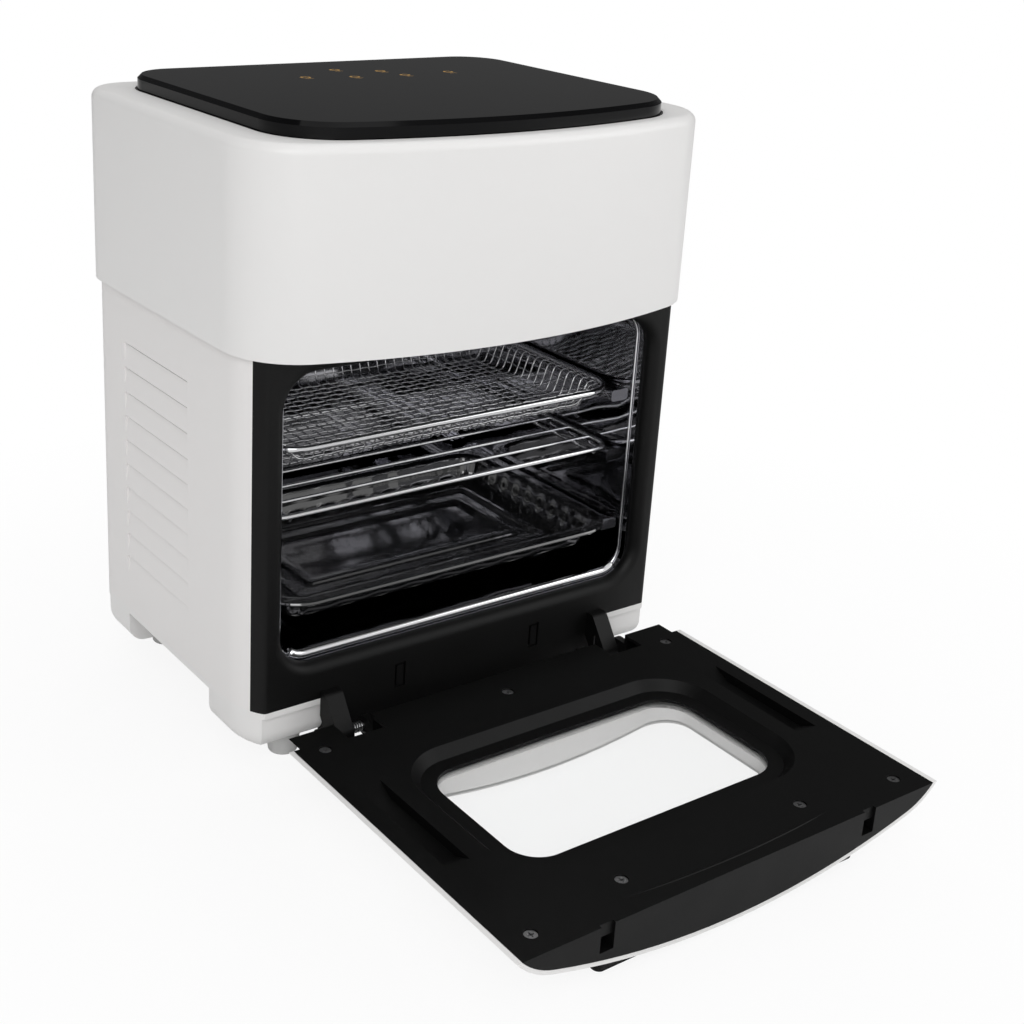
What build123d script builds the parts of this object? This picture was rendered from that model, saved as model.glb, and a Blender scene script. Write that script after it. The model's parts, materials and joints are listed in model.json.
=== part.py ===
from build123d import *
from math import atan2, cos, pi, sin, sqrt
import os

os.makedirs("parts", exist_ok=True)

# Countertop air fryer oven with a bowed head, a touch panel and a drop-down door.
# Units are millimetres. Z is up and Z = 0 is the worktop under the feet.
# The front is -Y, and Y = 0 is the front face of the black frame. The door is shown open.

# Plan of the head, body and door, which all follow one bowed outline
head_half_width = 163.5
bow_crest_y = -34.0
bow_radius = 480.0
front_corner_radius = 46.0
head_rear_y = 223.0
rear_corner_radius = 30.0
head_overhang = 3.5

# Heights above the worktop
foot_height = 15.0
base_seam_z = 42.0
head_bottom_z = 262.0
rim_top_z = 382.0
slab_top_z = 391.0

# Wall thicknesses
panel_wall = 2.5
head_wall = 3.0
top_wall = 3.0
base_plate = 4.0
sheet = 1.0
skin_wall = 2.4
liner_wall = 2.5

# Front frame and its opening
frame_depth = 8.0
frame_bar = 12.3
opening_bottom_z = 66.0
opening_top_z = 250.0
opening_corner = 22.0
opening_lip = 7.0
frame_edge_round = 4.5
apron_half_width = 107.5
apron_bottom_z = 15.0
recess_x = 53.0
recess_z = 42.0
recess_width = 8.0
recess_height = 17.0
recess_line = 1.6

# Oven cavity
cavity_side_gap = 2.0
cavity_floor_z = 66.0
cavity_top_z = 252.0
cavity_corner = 18.0
cavity_rear_y = 195.0
rail_depth = 7.0
rail_height = 8.0
rail_tops = [99.0, 150.5, 193.0]
flange_width = 8.0

# Hot air system above the cavity
pan_flange = 7.0
pan_screw_offset = 5.5
fan_centre_y = 102.0
throat_radius = 84.0
pan_inner_radius = 86.0
pan_height = 34.0
element_inner_radius = 66.0
element_outer_radius = 79.0
element_tube_radius = 3.25
hot_fan_radius = 60.0
shaft_radius = 4.0
shaft_clearance = 0.05
motor_radius = 26.0
motor_height = 31.0
cooling_fan_radius = 45.0

# Door, measured in its closed place and laid open about the hinge pins
seal_gap = 1.0
hinge_drop = 12.5
door_lower_z = 45.0
door_length = 215.0
door_tail = 13.0
tail_inset = 3.0
liner_top_z = 36.0
window_side = 68.5
window_half_width = head_half_width - window_side
window_near = 53.0
window_far = 150.0
window_corner = 20.0
recess_margin = 15.0
recess_depth = 6.0
glass = 4.0
outer_glass_wall = 3.0
tunnel_wall = 4.5

# Hinge arms, pins and lugs, measured from the middle plane
arm_inset = 38.0
arm_width = 12.0
lug_width = 5.0
lug_radius = 6.0
lug_gap_inner = 10.5
lug_gap_outer = 4.0
pin_radius = 2.0
pin_clearance = 0.05
arm_radius = 7.5

# Trays and rack
slide_gap = 0.2
tray_side_gap = 1.5
tray_corner = 28.0
tray_front_y = 22.0
tray_rear_y = 182.0
drip_front_y = 12.0
tray_rim = 9.0
tray_sheet = 1.2
mesh_depth = 15.0
drip_depth = 16.0
rod_radius = 1.75
thin_rod_radius = 1.2

# Screws
screw_radius = 1.6
screw_head_radius = 3.6
screw_head = 2.2

# Values that follow from the ones above
body_half_width = head_half_width - head_overhang
body_inset = head_overhang
pin_y = -(hinge_drop + seal_gap)
pin_z = liner_top_z - hinge_drop
door_shift_z = liner_top_z + seal_gap
door_rear_y = pin_y - (door_lower_z - pin_z)
door_far_y = door_rear_y - door_length
tail_rear_y = door_rear_y + door_tail
pan_top_z = cavity_top_z + sheet + pan_height
element_z = cavity_top_z + 10.0
body_rear_y = head_rear_y - head_overhang


def bow_points(inset, half, crest, bow_r, corner_r):
    """Centre and tangent point of the corner that joins the bowed front to a side."""
    half, crest, bow_r, corner_r = half - inset, crest + inset, bow_r - inset, corner_r - inset
    centre_x = half - corner_r
    bow_y = crest + bow_r
    reach = bow_r - corner_r
    centre_y = bow_y - sqrt(reach**2 - centre_x**2)
    tangent_x = centre_x * bow_r / reach
    tangent_y = bow_y + (centre_y - bow_y) * bow_r / reach
    return half, crest, corner_r, centre_x, centre_y, tangent_x, tangent_y


def plan_edges(inset, half=head_half_width, crest=bow_crest_y, bow_r=bow_radius,
               corner_r=front_corner_radius, rear=head_rear_y, rear_r=rear_corner_radius):
    """Closed plan outline: bowed front, rounded front corners, straight sides, rounded rear."""
    half, crest, corner_r, cx, cy, tx, ty = bow_points(inset, half, crest, bow_r, corner_r)
    rear = rear - inset
    rear_r = rear_r - inset
    turn = atan2(ty - cy, tx - cx) / 2
    mid = (cx + corner_r * cos(turn), cy + corner_r * sin(turn))
    back = (half - rear_r + rear_r * cos(pi / 4), rear - rear_r + rear_r * sin(pi / 4))
    with BuildLine() as outline:
        ThreePointArc((-tx, ty), (0, crest), (tx, ty))
        ThreePointArc((tx, ty), mid, (half, cy))
        Line((half, cy), (half, rear - rear_r))
        ThreePointArc((half, rear - rear_r), back, (half - rear_r, rear))
        Line((half - rear_r, rear), (-half + rear_r, rear))
        ThreePointArc((-half + rear_r, rear), (-back[0], back[1]), (-half, rear - rear_r))
        Line((-half, rear - rear_r), (-half, cy))
        ThreePointArc((-half, cy), (-mid[0], mid[1]), (-tx, ty))
    return outline.line.edges()


def door_edges(inset, cut=-seal_gap):
    """Closed cross-section of the door: the bowed outline in front of the line y = cut."""
    half, crest, corner_r, cx, cy, tx, ty = bow_points(
        inset, head_half_width, bow_crest_y, bow_radius, front_corner_radius)
    end_x = cx + sqrt(corner_r**2 - (cy - cut) ** 2)
    turn = (atan2(ty - cy, tx - cx) + atan2(cut - cy, end_x - cx)) / 2
    mid = (cx + corner_r * cos(turn), cy + corner_r * sin(turn))
    with BuildLine() as outline:
        ThreePointArc((-tx, ty), (0, crest), (tx, ty))
        ThreePointArc((tx, ty), mid, (end_x, cut))
        Line((end_x, cut), (-end_x, cut))
        ThreePointArc((-end_x, cut), (-mid[0], mid[1]), (-tx, ty))
    return outline.line.edges()


def door_plane(y):
    """Plane across the open door at depth y, with its outline's y measured up from the crest."""
    return Plane(origin=(0, y, door_shift_z), x_dir=(1, 0, 0), z_dir=(0, -1, 0))


def front_plane(y):
    """Plane that faces the front at depth y: sketches use X and Z as they are."""
    return Plane(origin=(0, y, 0), x_dir=(1, 0, 0), z_dir=(0, -1, 0))


def side_plane(x):
    """Plane that faces +X: sketches use Y and Z as they are."""
    return Plane(origin=(x, 0, 0), x_dir=(0, 1, 0), z_dir=(1, 0, 0))


def plan_x(inset, y):
    """Half width of the plan at depth y, where y lies on the arc of the front corner."""
    half, crest, corner_r, cx, cy, tx, ty = bow_points(
        inset, head_half_width, bow_crest_y, bow_radius, front_corner_radius)
    return cx + sqrt(corner_r**2 - (cy - y) ** 2)


opening_half_width = plan_x(body_inset, 0) - frame_bar
cavity_half_width = opening_half_width - cavity_side_gap
arm_inner_x = opening_half_width - arm_inset
opening_middle_z = (opening_bottom_z + opening_top_z) / 2
opening_height = opening_top_z - opening_bottom_z

# Front frame: the black moulding round the oven opening
with BuildPart() as front_frame:
    with BuildSketch(Plane.XY.offset(base_seam_z)):
        make_face(plan_edges(body_inset))
        with Locations((0, frame_depth / 2)):
            Rectangle(2 * head_half_width, frame_depth, mode=Mode.INTERSECT)
    extrude(amount=head_bottom_z - base_seam_z)
    with BuildSketch(front_plane(-1)):
        with Locations((0, opening_middle_z)):
            RectangleRounded(2 * opening_half_width, opening_height, opening_corner)
    extrude(amount=-frame_depth - 2, mode=Mode.SUBTRACT)
    front_face = front_frame.faces().sort_by(Axis.Y)[0]
    fillet(front_face.inner_wires()[0].edges(), radius=opening_lip)
    outer_edges = front_frame.edges().filter_by(Axis.Z).group_by(Axis.Y)[0]
    fillet(outer_edges, radius=frame_edge_round)
    # Apron that closes the space between the lower bar and the open door
    with BuildSketch(front_plane(0)):
        with Locations((0, (base_seam_z + apron_bottom_z) / 2)):
            Rectangle(2 * apron_half_width, base_seam_z - apron_bottom_z)
    extrude(amount=-frame_depth)
    # Two snap recesses, each a shallow groove round a rectangle
    with BuildSketch(front_plane(0)):
        with Locations((-recess_x, recess_z), (recess_x, recess_z)):
            Rectangle(recess_width, recess_height)
            Rectangle(recess_width - 2 * recess_line, recess_height - 2 * recess_line,
                      mode=Mode.SUBTRACT)
    extrude(amount=-recess_line, mode=Mode.SUBTRACT)
front_frame.part.label = "front_frame"
export_step(front_frame.part, "parts/front_frame.step")

# Screws in the rear wraps of the side panels
panel_rear_x = head_half_width - 45.5
rear_screw_x = panel_rear_x + 6.0
rear_screw_places = [(side * rear_screw_x, z) for side in (-1, 1) for z in (62.0, 150.0, 240.0)]

# Side panels: white skins that wrap the front and rear corners, with pressed louvres
louvre_count = 10
louvre_top_z = 216.0
louvre_pitch = 16.4
louvre_height = 12.5
louvre_depth = 1.7
louvre_front_y = 78.0
louvre_rear_y = 166.0
louvre_slot = 1.5
panel_top_z = head_bottom_z + 6.0
louvre_length = louvre_rear_y - louvre_front_y
with BuildPart() as left_side_panel:
    with BuildSketch(Plane.XY.offset(base_seam_z)):
        make_face(plan_edges(body_inset))
        make_face(plan_edges(body_inset + panel_wall), mode=Mode.SUBTRACT)
        with Locations((-head_half_width, (frame_depth + head_rear_y) / 2)):
            Rectangle(2 * (head_half_width - panel_rear_x), head_rear_y - frame_depth,
                      mode=Mode.INTERSECT)
    extrude(amount=panel_top_z - base_seam_z)
    with BuildSketch(front_plane(louvre_front_y)):
        for row in range(louvre_count):
            row_z = louvre_top_z - louvre_pitch * row
            with Locations((-body_half_width, row_z)):
                Polygon((-1, 0), (0, 0), (louvre_depth, louvre_height), (-1, louvre_height),
                        align=None)
    extrude(amount=-louvre_length, mode=Mode.SUBTRACT)
    with BuildSketch(side_plane(-head_half_width)):
        with Locations(((louvre_front_y + louvre_rear_y) / 2,
                        louvre_top_z - louvre_pitch * (louvre_count - 1) / 2
                        + louvre_height - louvre_slot / 2)):
            with GridLocations(1, louvre_pitch, 1, louvre_count):
                SlotOverall(louvre_length - 4, louvre_slot)
    extrude(amount=head_overhang + panel_wall + 1, mode=Mode.SUBTRACT)
    with BuildSketch(front_plane(body_rear_y)):
        with Locations(*rear_screw_places[:3]):
            Circle(screw_radius)
    extrude(amount=panel_wall, mode=Mode.SUBTRACT)
left_side_panel.part.label = "left_side_panel"
export_step(left_side_panel.part, "parts/left_side_panel.step")

with BuildPart() as right_side_panel:
    mirror(left_side_panel.part, about=Plane.YZ)
right_side_panel.part.label = "right_side_panel"
export_step(right_side_panel.part, "parts/right_side_panel.step")

# Rear panel: flat sheet between the side panels with vent slots and the cord hole
rear_panel_wall = 1.5
gland_x = -(panel_rear_x - 30.0)
gland_z = 62.0
gland_radius = 7.0
rear_panel_lap = 12.0
rear_panel_back = body_rear_y - panel_wall
rear_panel_y = rear_panel_back - rear_panel_wall
with BuildPart() as rear_panel:
    with BuildSketch(front_plane(rear_panel_back)):
        with Locations((0, (base_seam_z + panel_top_z) / 2)):
            Rectangle(2 * (panel_rear_x + rear_panel_lap), panel_top_z - base_seam_z)
        with Locations((0, 150)):
            with GridLocations(34, 10, 5, 8):
                SlotOverall(26, 4, mode=Mode.SUBTRACT)
        with Locations((gland_x, gland_z)):
            Circle(gland_radius, mode=Mode.SUBTRACT)
        with Locations(*rear_screw_places):
            Circle(screw_radius, mode=Mode.SUBTRACT)
    extrude(amount=rear_panel_wall)
rear_panel.part.label = "rear_panel"
export_step(rear_panel.part, "parts/rear_panel.step")

# Screws that hold the rear panel to the side panels
with BuildPart() as rear_screws:
    with BuildSketch(front_plane(body_rear_y)):
        with Locations(*rear_screw_places):
            Circle(screw_radius)
    extrude(amount=panel_wall + rear_panel_wall + 3)
    with BuildSketch(front_plane(body_rear_y + screw_head)):
        with Locations(*rear_screw_places):
            Circle(screw_head_radius)
    extrude(amount=screw_head)
rear_screws.part.label = "rear_screws"
export_step(rear_screws.part, "parts/rear_screws.step")

# Cord gland: a ribbed bush through the rear panel, with the inlet for the supply cord
gland_reach = 12.0
gland_bore = 3.2
with BuildPart() as cord_gland:
    with BuildSketch(front_plane(rear_panel_back + gland_reach)):
        with Locations((gland_x, gland_z)):
            Circle(gland_radius - 1.5)
    extrude(amount=gland_reach + rear_panel_wall + 4)
    with BuildSketch(front_plane(rear_panel_back + 3)):
        with Locations((gland_x, gland_z)):
            Circle(gland_radius + 3)
    extrude(amount=3)
    with BuildSketch(front_plane(rear_panel_back)):
        with Locations((gland_x, gland_z)):
            Circle(gland_radius)
    extrude(amount=rear_panel_wall)
    with BuildSketch(front_plane(rear_panel_y)):
        with Locations((gland_x, gland_z)):
            Circle(gland_radius + 2)
    extrude(amount=3)
    with BuildSketch(front_plane(rear_panel_back + gland_reach)):
        with Locations((gland_x, gland_z)):
            Circle(gland_bore)
    extrude(amount=gland_reach, mode=Mode.SUBTRACT)
cord_gland.part.label = "cord_gland"
export_step(cord_gland.part, "parts/cord_gland.step")

# Base tray: a plate with a hollow moulded pad at each corner
pad_wall = 2.5
pad_width = 52.0
pad_depth = 52.0
pad_inset = 0.6
pad_round = 12.0
pad_floor = 8.0
apron_gap = 0.2
plate_bottom_z = base_seam_z - base_plate
support_ys = (45.0, 165.0)
support_foot = 13.0
support_width = 26.0
base_screw_offset = (support_width + support_foot) / 2
support_length = 170.0
base_screw_x = support_length / 2 - support_foot
base_screw_places = [(side * base_screw_x, y) for side in (-1, 1)
                     for y in (support_ys[0] - base_screw_offset, support_ys[1] + base_screw_offset)]
with BuildPart() as base_tray:
    with BuildSketch(Plane.XY.offset(plate_bottom_z)):
        make_face(plan_edges(body_inset))
        with Locations((0, head_rear_y / 2)):
            Rectangle(2 * head_half_width, head_rear_y, mode=Mode.INTERSECT)
    extrude(amount=base_plate)
    pad_mid_y = body_rear_y / 2
    with BuildSketch(Plane.XY.offset(foot_height)):
        make_face(plan_edges(body_inset + pad_inset))
        with Locations((0, head_rear_y / 2 + 1)):
            Rectangle(2 * head_half_width, head_rear_y - 2, mode=Mode.INTERSECT)
        with Locations((0, pad_mid_y)):
            Rectangle(2 * (body_half_width - pad_width), 400, mode=Mode.SUBTRACT)
            Rectangle(400, body_rear_y - 2 * pad_depth, mode=Mode.SUBTRACT)
    extrude(amount=plate_bottom_z - foot_height)
    pad_bottoms = base_tray.faces().filter_by(Axis.Z).group_by(Axis.Z)[0]
    inner_x = body_half_width - pad_width + 1
    inner_low_y, inner_high_y = pad_depth - 1, body_rear_y - pad_depth + 1
    outer_edges = [edge for edge in pad_bottoms.edges()
                   if abs(edge.center().X) > inner_x
                   and not inner_low_y < edge.center().Y < inner_high_y]
    fillet(outer_edges, radius=pad_round)
    with BuildSketch(Plane.XY.offset(base_seam_z)):
        make_face(plan_edges(body_inset + pad_inset + pad_wall))
        with Locations((0, head_rear_y / 2 + 1)):
            Rectangle(2 * head_half_width, head_rear_y - 2 - 4 * pad_wall, mode=Mode.INTERSECT)
        with Locations((0, pad_mid_y)):
            Rectangle(2 * (body_half_width - pad_width + pad_wall), 400, mode=Mode.SUBTRACT)
            Rectangle(400, body_rear_y - 2 * (pad_depth - pad_wall), mode=Mode.SUBTRACT)
    extrude(amount=-(base_seam_z - foot_height - pad_floor), mode=Mode.SUBTRACT)
    with BuildSketch(Plane.XY.offset(base_seam_z)):
        with Locations((0, pad_mid_y)):
            with GridLocations(40, 14, 4, 5):
                SlotOverall(30, 4)
        with Locations((0, frame_depth / 2)):
            Rectangle(2 * (apron_half_width + apron_gap), frame_depth + 2 * apron_gap)
    extrude(amount=-base_plate, mode=Mode.SUBTRACT)
    with BuildSketch(Plane.XY.offset(base_seam_z)):
        with Locations(*base_screw_places):
            Circle(screw_radius)
    extrude(amount=-base_plate, mode=Mode.SUBTRACT)
base_tray.part.label = "base_tray"
export_step(base_tray.part, "parts/base_tray.step")

# Feet: four tapered feet under the pads
foot_inset = 36.0
foot_tip_radius = 9.0
foot_top_radius = 11.0
foot_x = body_half_width - foot_inset
foot_front_y = 22.0
foot_rear_y = 186.0
foot_places = {
    "foot_front_left": (-foot_x, foot_front_y),
    "foot_front_right": (foot_x, foot_front_y),
    "foot_rear_left": (-foot_x, foot_rear_y),
    "foot_rear_right": (foot_x, foot_rear_y),
}
for foot_name, place in foot_places.items():
    with BuildPart() as foot:
        with Locations((place[0], place[1], 0)):
            Cone(foot_tip_radius, foot_top_radius, foot_height,
                 align=(Align.CENTER, Align.CENTER, Align.MIN))
        fillet(foot.faces().sort_by(Axis.Z)[0].edges(), radius=1.5)
    foot.part.label = foot_name
    export_step(foot.part, f"parts/{foot_name}.step")

# Cavity liner: folded steel box with a front flange, pressed shelf rails and a round throat
liner_rear_y = cavity_rear_y + sheet
cavity_height = cavity_top_z - cavity_floor_z
cavity_mid_z = (cavity_top_z + cavity_floor_z) / 2
lamp_y = 160.0
lamp_z = 216.0
lamp_radius = 15.0
rail_front_y = 26.0
rail_rear_y = 188.0
with BuildPart() as cavity_liner:
    with BuildSketch(front_plane(frame_depth)):
        with Locations((0, cavity_mid_z)):
            RectangleRounded(2 * (cavity_half_width + flange_width),
                             cavity_height + 2 * flange_width, cavity_corner + flange_width)
    extrude(amount=-sheet)
    with BuildSketch(front_plane(frame_depth)):
        with Locations((0, cavity_mid_z)):
            RectangleRounded(2 * (cavity_half_width + sheet), cavity_height + 2 * sheet,
                             cavity_corner + sheet)
    extrude(amount=-(liner_rear_y - frame_depth))
    with BuildSketch(front_plane(frame_depth)):
        with Locations((0, cavity_mid_z)):
            RectangleRounded(2 * cavity_half_width, cavity_height, cavity_corner)
    extrude(amount=-(cavity_rear_y - frame_depth), mode=Mode.SUBTRACT)
    # Shelf rails pressed inwards, hollow from outside
    for side in (-1, 1):
        with BuildSketch(front_plane(rail_front_y)):
            for rail_top in rail_tops:
                with Locations((side * (cavity_half_width + sheet / 2 - rail_depth / 2),
                                rail_top - rail_height / 2)):
                    RectangleRounded(rail_depth + sheet, rail_height, 2.0)
        extrude(amount=-(rail_rear_y - rail_front_y))
        with BuildSketch(front_plane(rail_front_y + 1.2)):
            for rail_top in rail_tops:
                with Locations((side * (cavity_half_width + sheet + 1 - rail_depth / 2),
                                rail_top - rail_height / 2)):
                    RectangleRounded(rail_depth + 0.6, rail_height - 2.4, 1.0)
        extrude(amount=-(rail_rear_y - rail_front_y - 2.4), mode=Mode.SUBTRACT)
    with BuildSketch(Plane.XY.offset(cavity_top_z - 1)):
        with Locations((0, fan_centre_y)):
            Circle(throat_radius)
            with PolarLocations(throat_radius + pan_screw_offset, 4, start_angle=45):
                Circle(screw_radius)
    extrude(amount=sheet + 2, mode=Mode.SUBTRACT)
    with BuildSketch(side_plane(cavity_half_width - 1)):
        with Locations((lamp_y, lamp_z)):
            Circle(lamp_radius)
    extrude(amount=sheet + 2, mode=Mode.SUBTRACT)
cavity_liner.part.label = "cavity_liner"
export_step(cavity_liner.part, "parts/cavity_liner.step")

# Liner supports: two channels between the base tray and the liner floor
support_gap_z = cavity_floor_z - sheet - base_seam_z
support_wall = 1.5
for support_name, support_y in zip(("liner_support_front", "liner_support_rear"), support_ys):
    with BuildPart() as support:
        with BuildSketch(side_plane(-support_length / 2)):
            with Locations((support_y, base_seam_z + support_gap_z / 2)):
                Rectangle(support_width, support_gap_z)
            with Locations((support_y, base_seam_z + (support_gap_z - support_wall) / 2)):
                Rectangle(support_width - 2 * support_wall, support_gap_z - support_wall,
                          mode=Mode.SUBTRACT)
            with Locations((support_y - base_screw_offset, base_seam_z + support_wall / 2),
                           (support_y + base_screw_offset, base_seam_z + support_wall / 2)):
                Rectangle(support_foot, support_wall)
        extrude(amount=support_length)
        with BuildSketch(Plane.XY.offset(base_seam_z)):
            with Locations(*base_screw_places):
                Circle(screw_radius)
        extrude(amount=support_wall, mode=Mode.SUBTRACT)
    support.part.label = support_name
    export_step(support.part, f"parts/{support_name}.step")

with BuildPart() as base_screws:
    with BuildSketch(Plane.XY.offset(plate_bottom_z)):
        with Locations(*base_screw_places):
            Circle(screw_radius)
    extrude(amount=base_plate + support_wall + 3)
    with BuildSketch(Plane.XY.offset(plate_bottom_z)):
        with Locations(*base_screw_places):
            Circle(screw_head_radius)
    extrude(amount=-screw_head)
base_screws.part.label = "base_screws"
export_step(base_screws.part, "parts/base_screws.step")

# Rear stay: bracket that holds the liner off the rear panel
stay_depth = rear_panel_y - liner_rear_y
with BuildPart() as rear_stay:
    with BuildSketch(Plane.XY.offset(225)):
        with Locations((0, liner_rear_y + stay_depth / 2)):
            Rectangle(70, stay_depth)
            Rectangle(67, stay_depth - 3, mode=Mode.SUBTRACT)
    extrude(amount=16)
rear_stay.part.label = "rear_stay"
export_step(rear_stay.part, "parts/rear_stay.step")

# Oven lamp: glass lens in the right wall with its holder behind
lens_dome = 5.0
with BuildPart() as lamp_lens:
    with BuildSketch(side_plane(cavity_half_width - 1.5)):
        with Locations((lamp_y, lamp_z)):
            Circle(lamp_radius + 3)
    extrude(amount=1.5)
    with BuildSketch(side_plane(cavity_half_width)):
        with Locations((lamp_y, lamp_z)):
            Circle(lamp_radius - 0.3)
    extrude(amount=sheet)
    with BuildSketch(side_plane(cavity_half_width - 1.5 - lens_dome)):
        with Locations((lamp_y, lamp_z)):
            Circle(lamp_radius - 5)
    extrude(amount=lens_dome)
    fillet(lamp_lens.faces().sort_by(Axis.X)[0].edges(), radius=4)
lamp_lens.part.label = "lamp_lens"
export_step(lamp_lens.part, "parts/lamp_lens.step")

with BuildPart() as lamp_holder:
    with BuildSketch(side_plane(cavity_half_width + sheet)):
        with Locations((lamp_y, lamp_z)):
            Circle(lamp_radius + 4)
            Circle(lamp_radius - 2, mode=Mode.SUBTRACT)
    extrude(amount=12)
    with BuildSketch(side_plane(cavity_half_width + sheet + 12)):
        with Locations((lamp_y, lamp_z)):
            Circle(lamp_radius + 4)
    extrude(amount=2)
lamp_holder.part.label = "lamp_holder"
export_step(lamp_holder.part, "parts/lamp_holder.step")

with BuildPart() as lamp_bulb:
    with BuildSketch(side_plane(cavity_half_width + sheet + 4)):
        with Locations((lamp_y, lamp_z)):
            Circle(6)
    extrude(amount=8)
    fillet(lamp_bulb.faces().sort_by(Axis.X)[0].edges(), radius=3)
lamp_bulb.part.label = "lamp_bulb"
export_step(lamp_bulb.part, "parts/lamp_bulb.step")

pan_floor_z = cavity_top_z + sheet

# Fan guard: a pressed net of square holes under the throat
guard_pitch = 10.0
guard_hole = 7.2
guard_rows = 15
guard_edge = 6.0
guard_lap = 8.0
with BuildPart() as fan_guard:
    with BuildSketch(Plane.XY.offset(cavity_top_z)):
        with Locations((0, fan_centre_y)):
            Circle(throat_radius + guard_lap)
            with PolarLocations(throat_radius + pan_screw_offset, 4, start_angle=45):
                Circle(screw_radius, mode=Mode.SUBTRACT)
    extrude(amount=-sheet)
    with BuildSketch(Plane.XY.offset(cavity_top_z)):
        with Locations((0, fan_centre_y)):
            with GridLocations(guard_pitch, guard_pitch, guard_rows, guard_rows):
                Rectangle(guard_hole, guard_hole)
            Circle(throat_radius - guard_edge, mode=Mode.INTERSECT)
    extrude(amount=-sheet, mode=Mode.SUBTRACT)
fan_guard.part.label = "fan_guard"
export_step(fan_guard.part, "parts/fan_guard.step")

# Heating element: one tube in two rings joined by a bend, with two upright cold ends
ring_gap = element_outer_radius - element_inner_radius
bend_angle = 60.0
end_angle = 105.0
with BuildPart() as heating_element:
    with BuildLine(Plane.XY.offset(element_z)) as element_path:
        with Locations((0, fan_centre_y)):
            inner_ring = CenterArc((0, fan_centre_y), element_inner_radius, bend_angle,
                                   end_angle - bend_angle - 360)
            outer_ring = CenterArc((0, fan_centre_y), element_outer_radius, bend_angle,
                                   end_angle - bend_angle - 360)
        link_radius = (element_inner_radius + element_outer_radius) / 2
        link_x = link_radius * cos(bend_angle * pi / 180)
        link_y = fan_centre_y + link_radius * sin(bend_angle * pi / 180)
        bulge_x = link_x - ring_gap / 2 * sin(bend_angle * pi / 180)
        bulge_y = link_y + ring_gap / 2 * cos(bend_angle * pi / 180)
        bend = ThreePointArc(inner_ring @ 0, (bulge_x, bulge_y), outer_ring @ 0)
    with BuildSketch(Plane(origin=inner_ring @ 1, z_dir=inner_ring % 1)):
        Circle(element_tube_radius)
    sweep(path=element_path.line)
    with Locations(inner_ring @ 1, outer_ring @ 1):
        Sphere(element_tube_radius)
        Cylinder(element_tube_radius, pan_top_z + 8 - element_z,
                 align=(Align.CENTER, Align.CENTER, Align.MIN))
heating_element.part.label = "heating_element"
export_step(heating_element.part, "parts/heating_element.step")

# Heat pan: a dish upside down over the throat, which holds the element and the hot fan
end_hole_gap = 0.3
with BuildPart() as heat_pan:
    with Locations((0, fan_centre_y, pan_floor_z)):
        Cylinder(pan_inner_radius + sheet, pan_height,
                 align=(Align.CENTER, Align.CENTER, Align.MIN))
        Cylinder(pan_inner_radius + pan_flange, sheet,
                 align=(Align.CENTER, Align.CENTER, Align.MIN))
        Cylinder(pan_inner_radius, pan_height - sheet, mode=Mode.SUBTRACT,
                 align=(Align.CENTER, Align.CENTER, Align.MIN))
        Cylinder(shaft_radius + 2, pan_height, mode=Mode.SUBTRACT,
                 align=(Align.CENTER, Align.CENTER, Align.MIN))
        with PolarLocations(throat_radius + pan_screw_offset, 4, start_angle=45):
            Cylinder(screw_radius, sheet, mode=Mode.SUBTRACT,
                     align=(Align.CENTER, Align.CENTER, Align.MIN))
    for ring_end in (inner_ring @ 1, outer_ring @ 1):
        with Locations((ring_end.X, ring_end.Y, pan_floor_z)):
            Cylinder(element_tube_radius + end_hole_gap, pan_height, mode=Mode.SUBTRACT,
                     align=(Align.CENTER, Align.CENTER, Align.MIN))
heat_pan.part.label = "heat_pan"
export_step(heat_pan.part, "parts/heat_pan.step")

# Screws that clamp the guard, the liner and the pan
with BuildPart() as pan_screws:
    with BuildSketch(Plane.XY.offset(cavity_top_z - sheet)):
        with Locations((0, fan_centre_y)):
            with PolarLocations(throat_radius + pan_screw_offset, 4, start_angle=45):
                Circle(screw_radius)
    extrude(amount=3 * sheet + 2)
    with BuildSketch(Plane.XY.offset(cavity_top_z - sheet)):
        with Locations((0, fan_centre_y)):
            with PolarLocations(throat_radius + pan_screw_offset, 4, start_angle=45):
                Circle(2.4)
    extrude(amount=-1.8)
pan_screws.part.label = "pan_screws"
export_step(pan_screws.part, "parts/pan_screws.step")

# Element clips: three fingers from the pan wall that carry both rings
clip_z = element_z - element_tube_radius - 0.2
clip_wall = 1.2
clip_inner = element_inner_radius - 6
with BuildPart() as element_clips:
    with Locations((0, fan_centre_y, clip_z - clip_wall)):
        with PolarLocations((pan_inner_radius + clip_inner) / 2, 3, start_angle=180,
                            angular_range=180, endpoint=True):
            Box(pan_inner_radius - clip_inner - 0.6, 8, clip_wall,
                align=(Align.CENTER, Align.CENTER, Align.MIN))
element_clips.part.label = "element_clips"
export_step(element_clips.part, "parts/element_clips.step")

# Hot fan: a disc with bent blades below it, on the motor shaft
hot_fan_z = pan_top_z - 6.0
hot_blade_height = 12.0
hot_blades = 12
with BuildPart() as hot_air_fan:
    with Locations((0, fan_centre_y, hot_fan_z - sheet)):
        Cylinder(hot_fan_radius, sheet, align=(Align.CENTER, Align.CENTER, Align.MIN))
    with Locations((0, fan_centre_y, hot_fan_z - hot_blade_height)):
        Cylinder(9, hot_blade_height, align=(Align.CENTER, Align.CENTER, Align.MIN))
        with PolarLocations(hot_fan_radius - 16, hot_blades):
            Box(28, sheet, hot_blade_height, rotation=(0, 0, 25),
                align=(Align.CENTER, Align.CENTER, Align.MIN))
        Cylinder(shaft_radius, hot_blade_height + sheet, mode=Mode.SUBTRACT,
                 align=(Align.CENTER, Align.CENTER, Align.MIN))
hot_air_fan.part.label = "hot_air_fan"
export_step(hot_air_fan.part, "parts/hot_air_fan.step")

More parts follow.
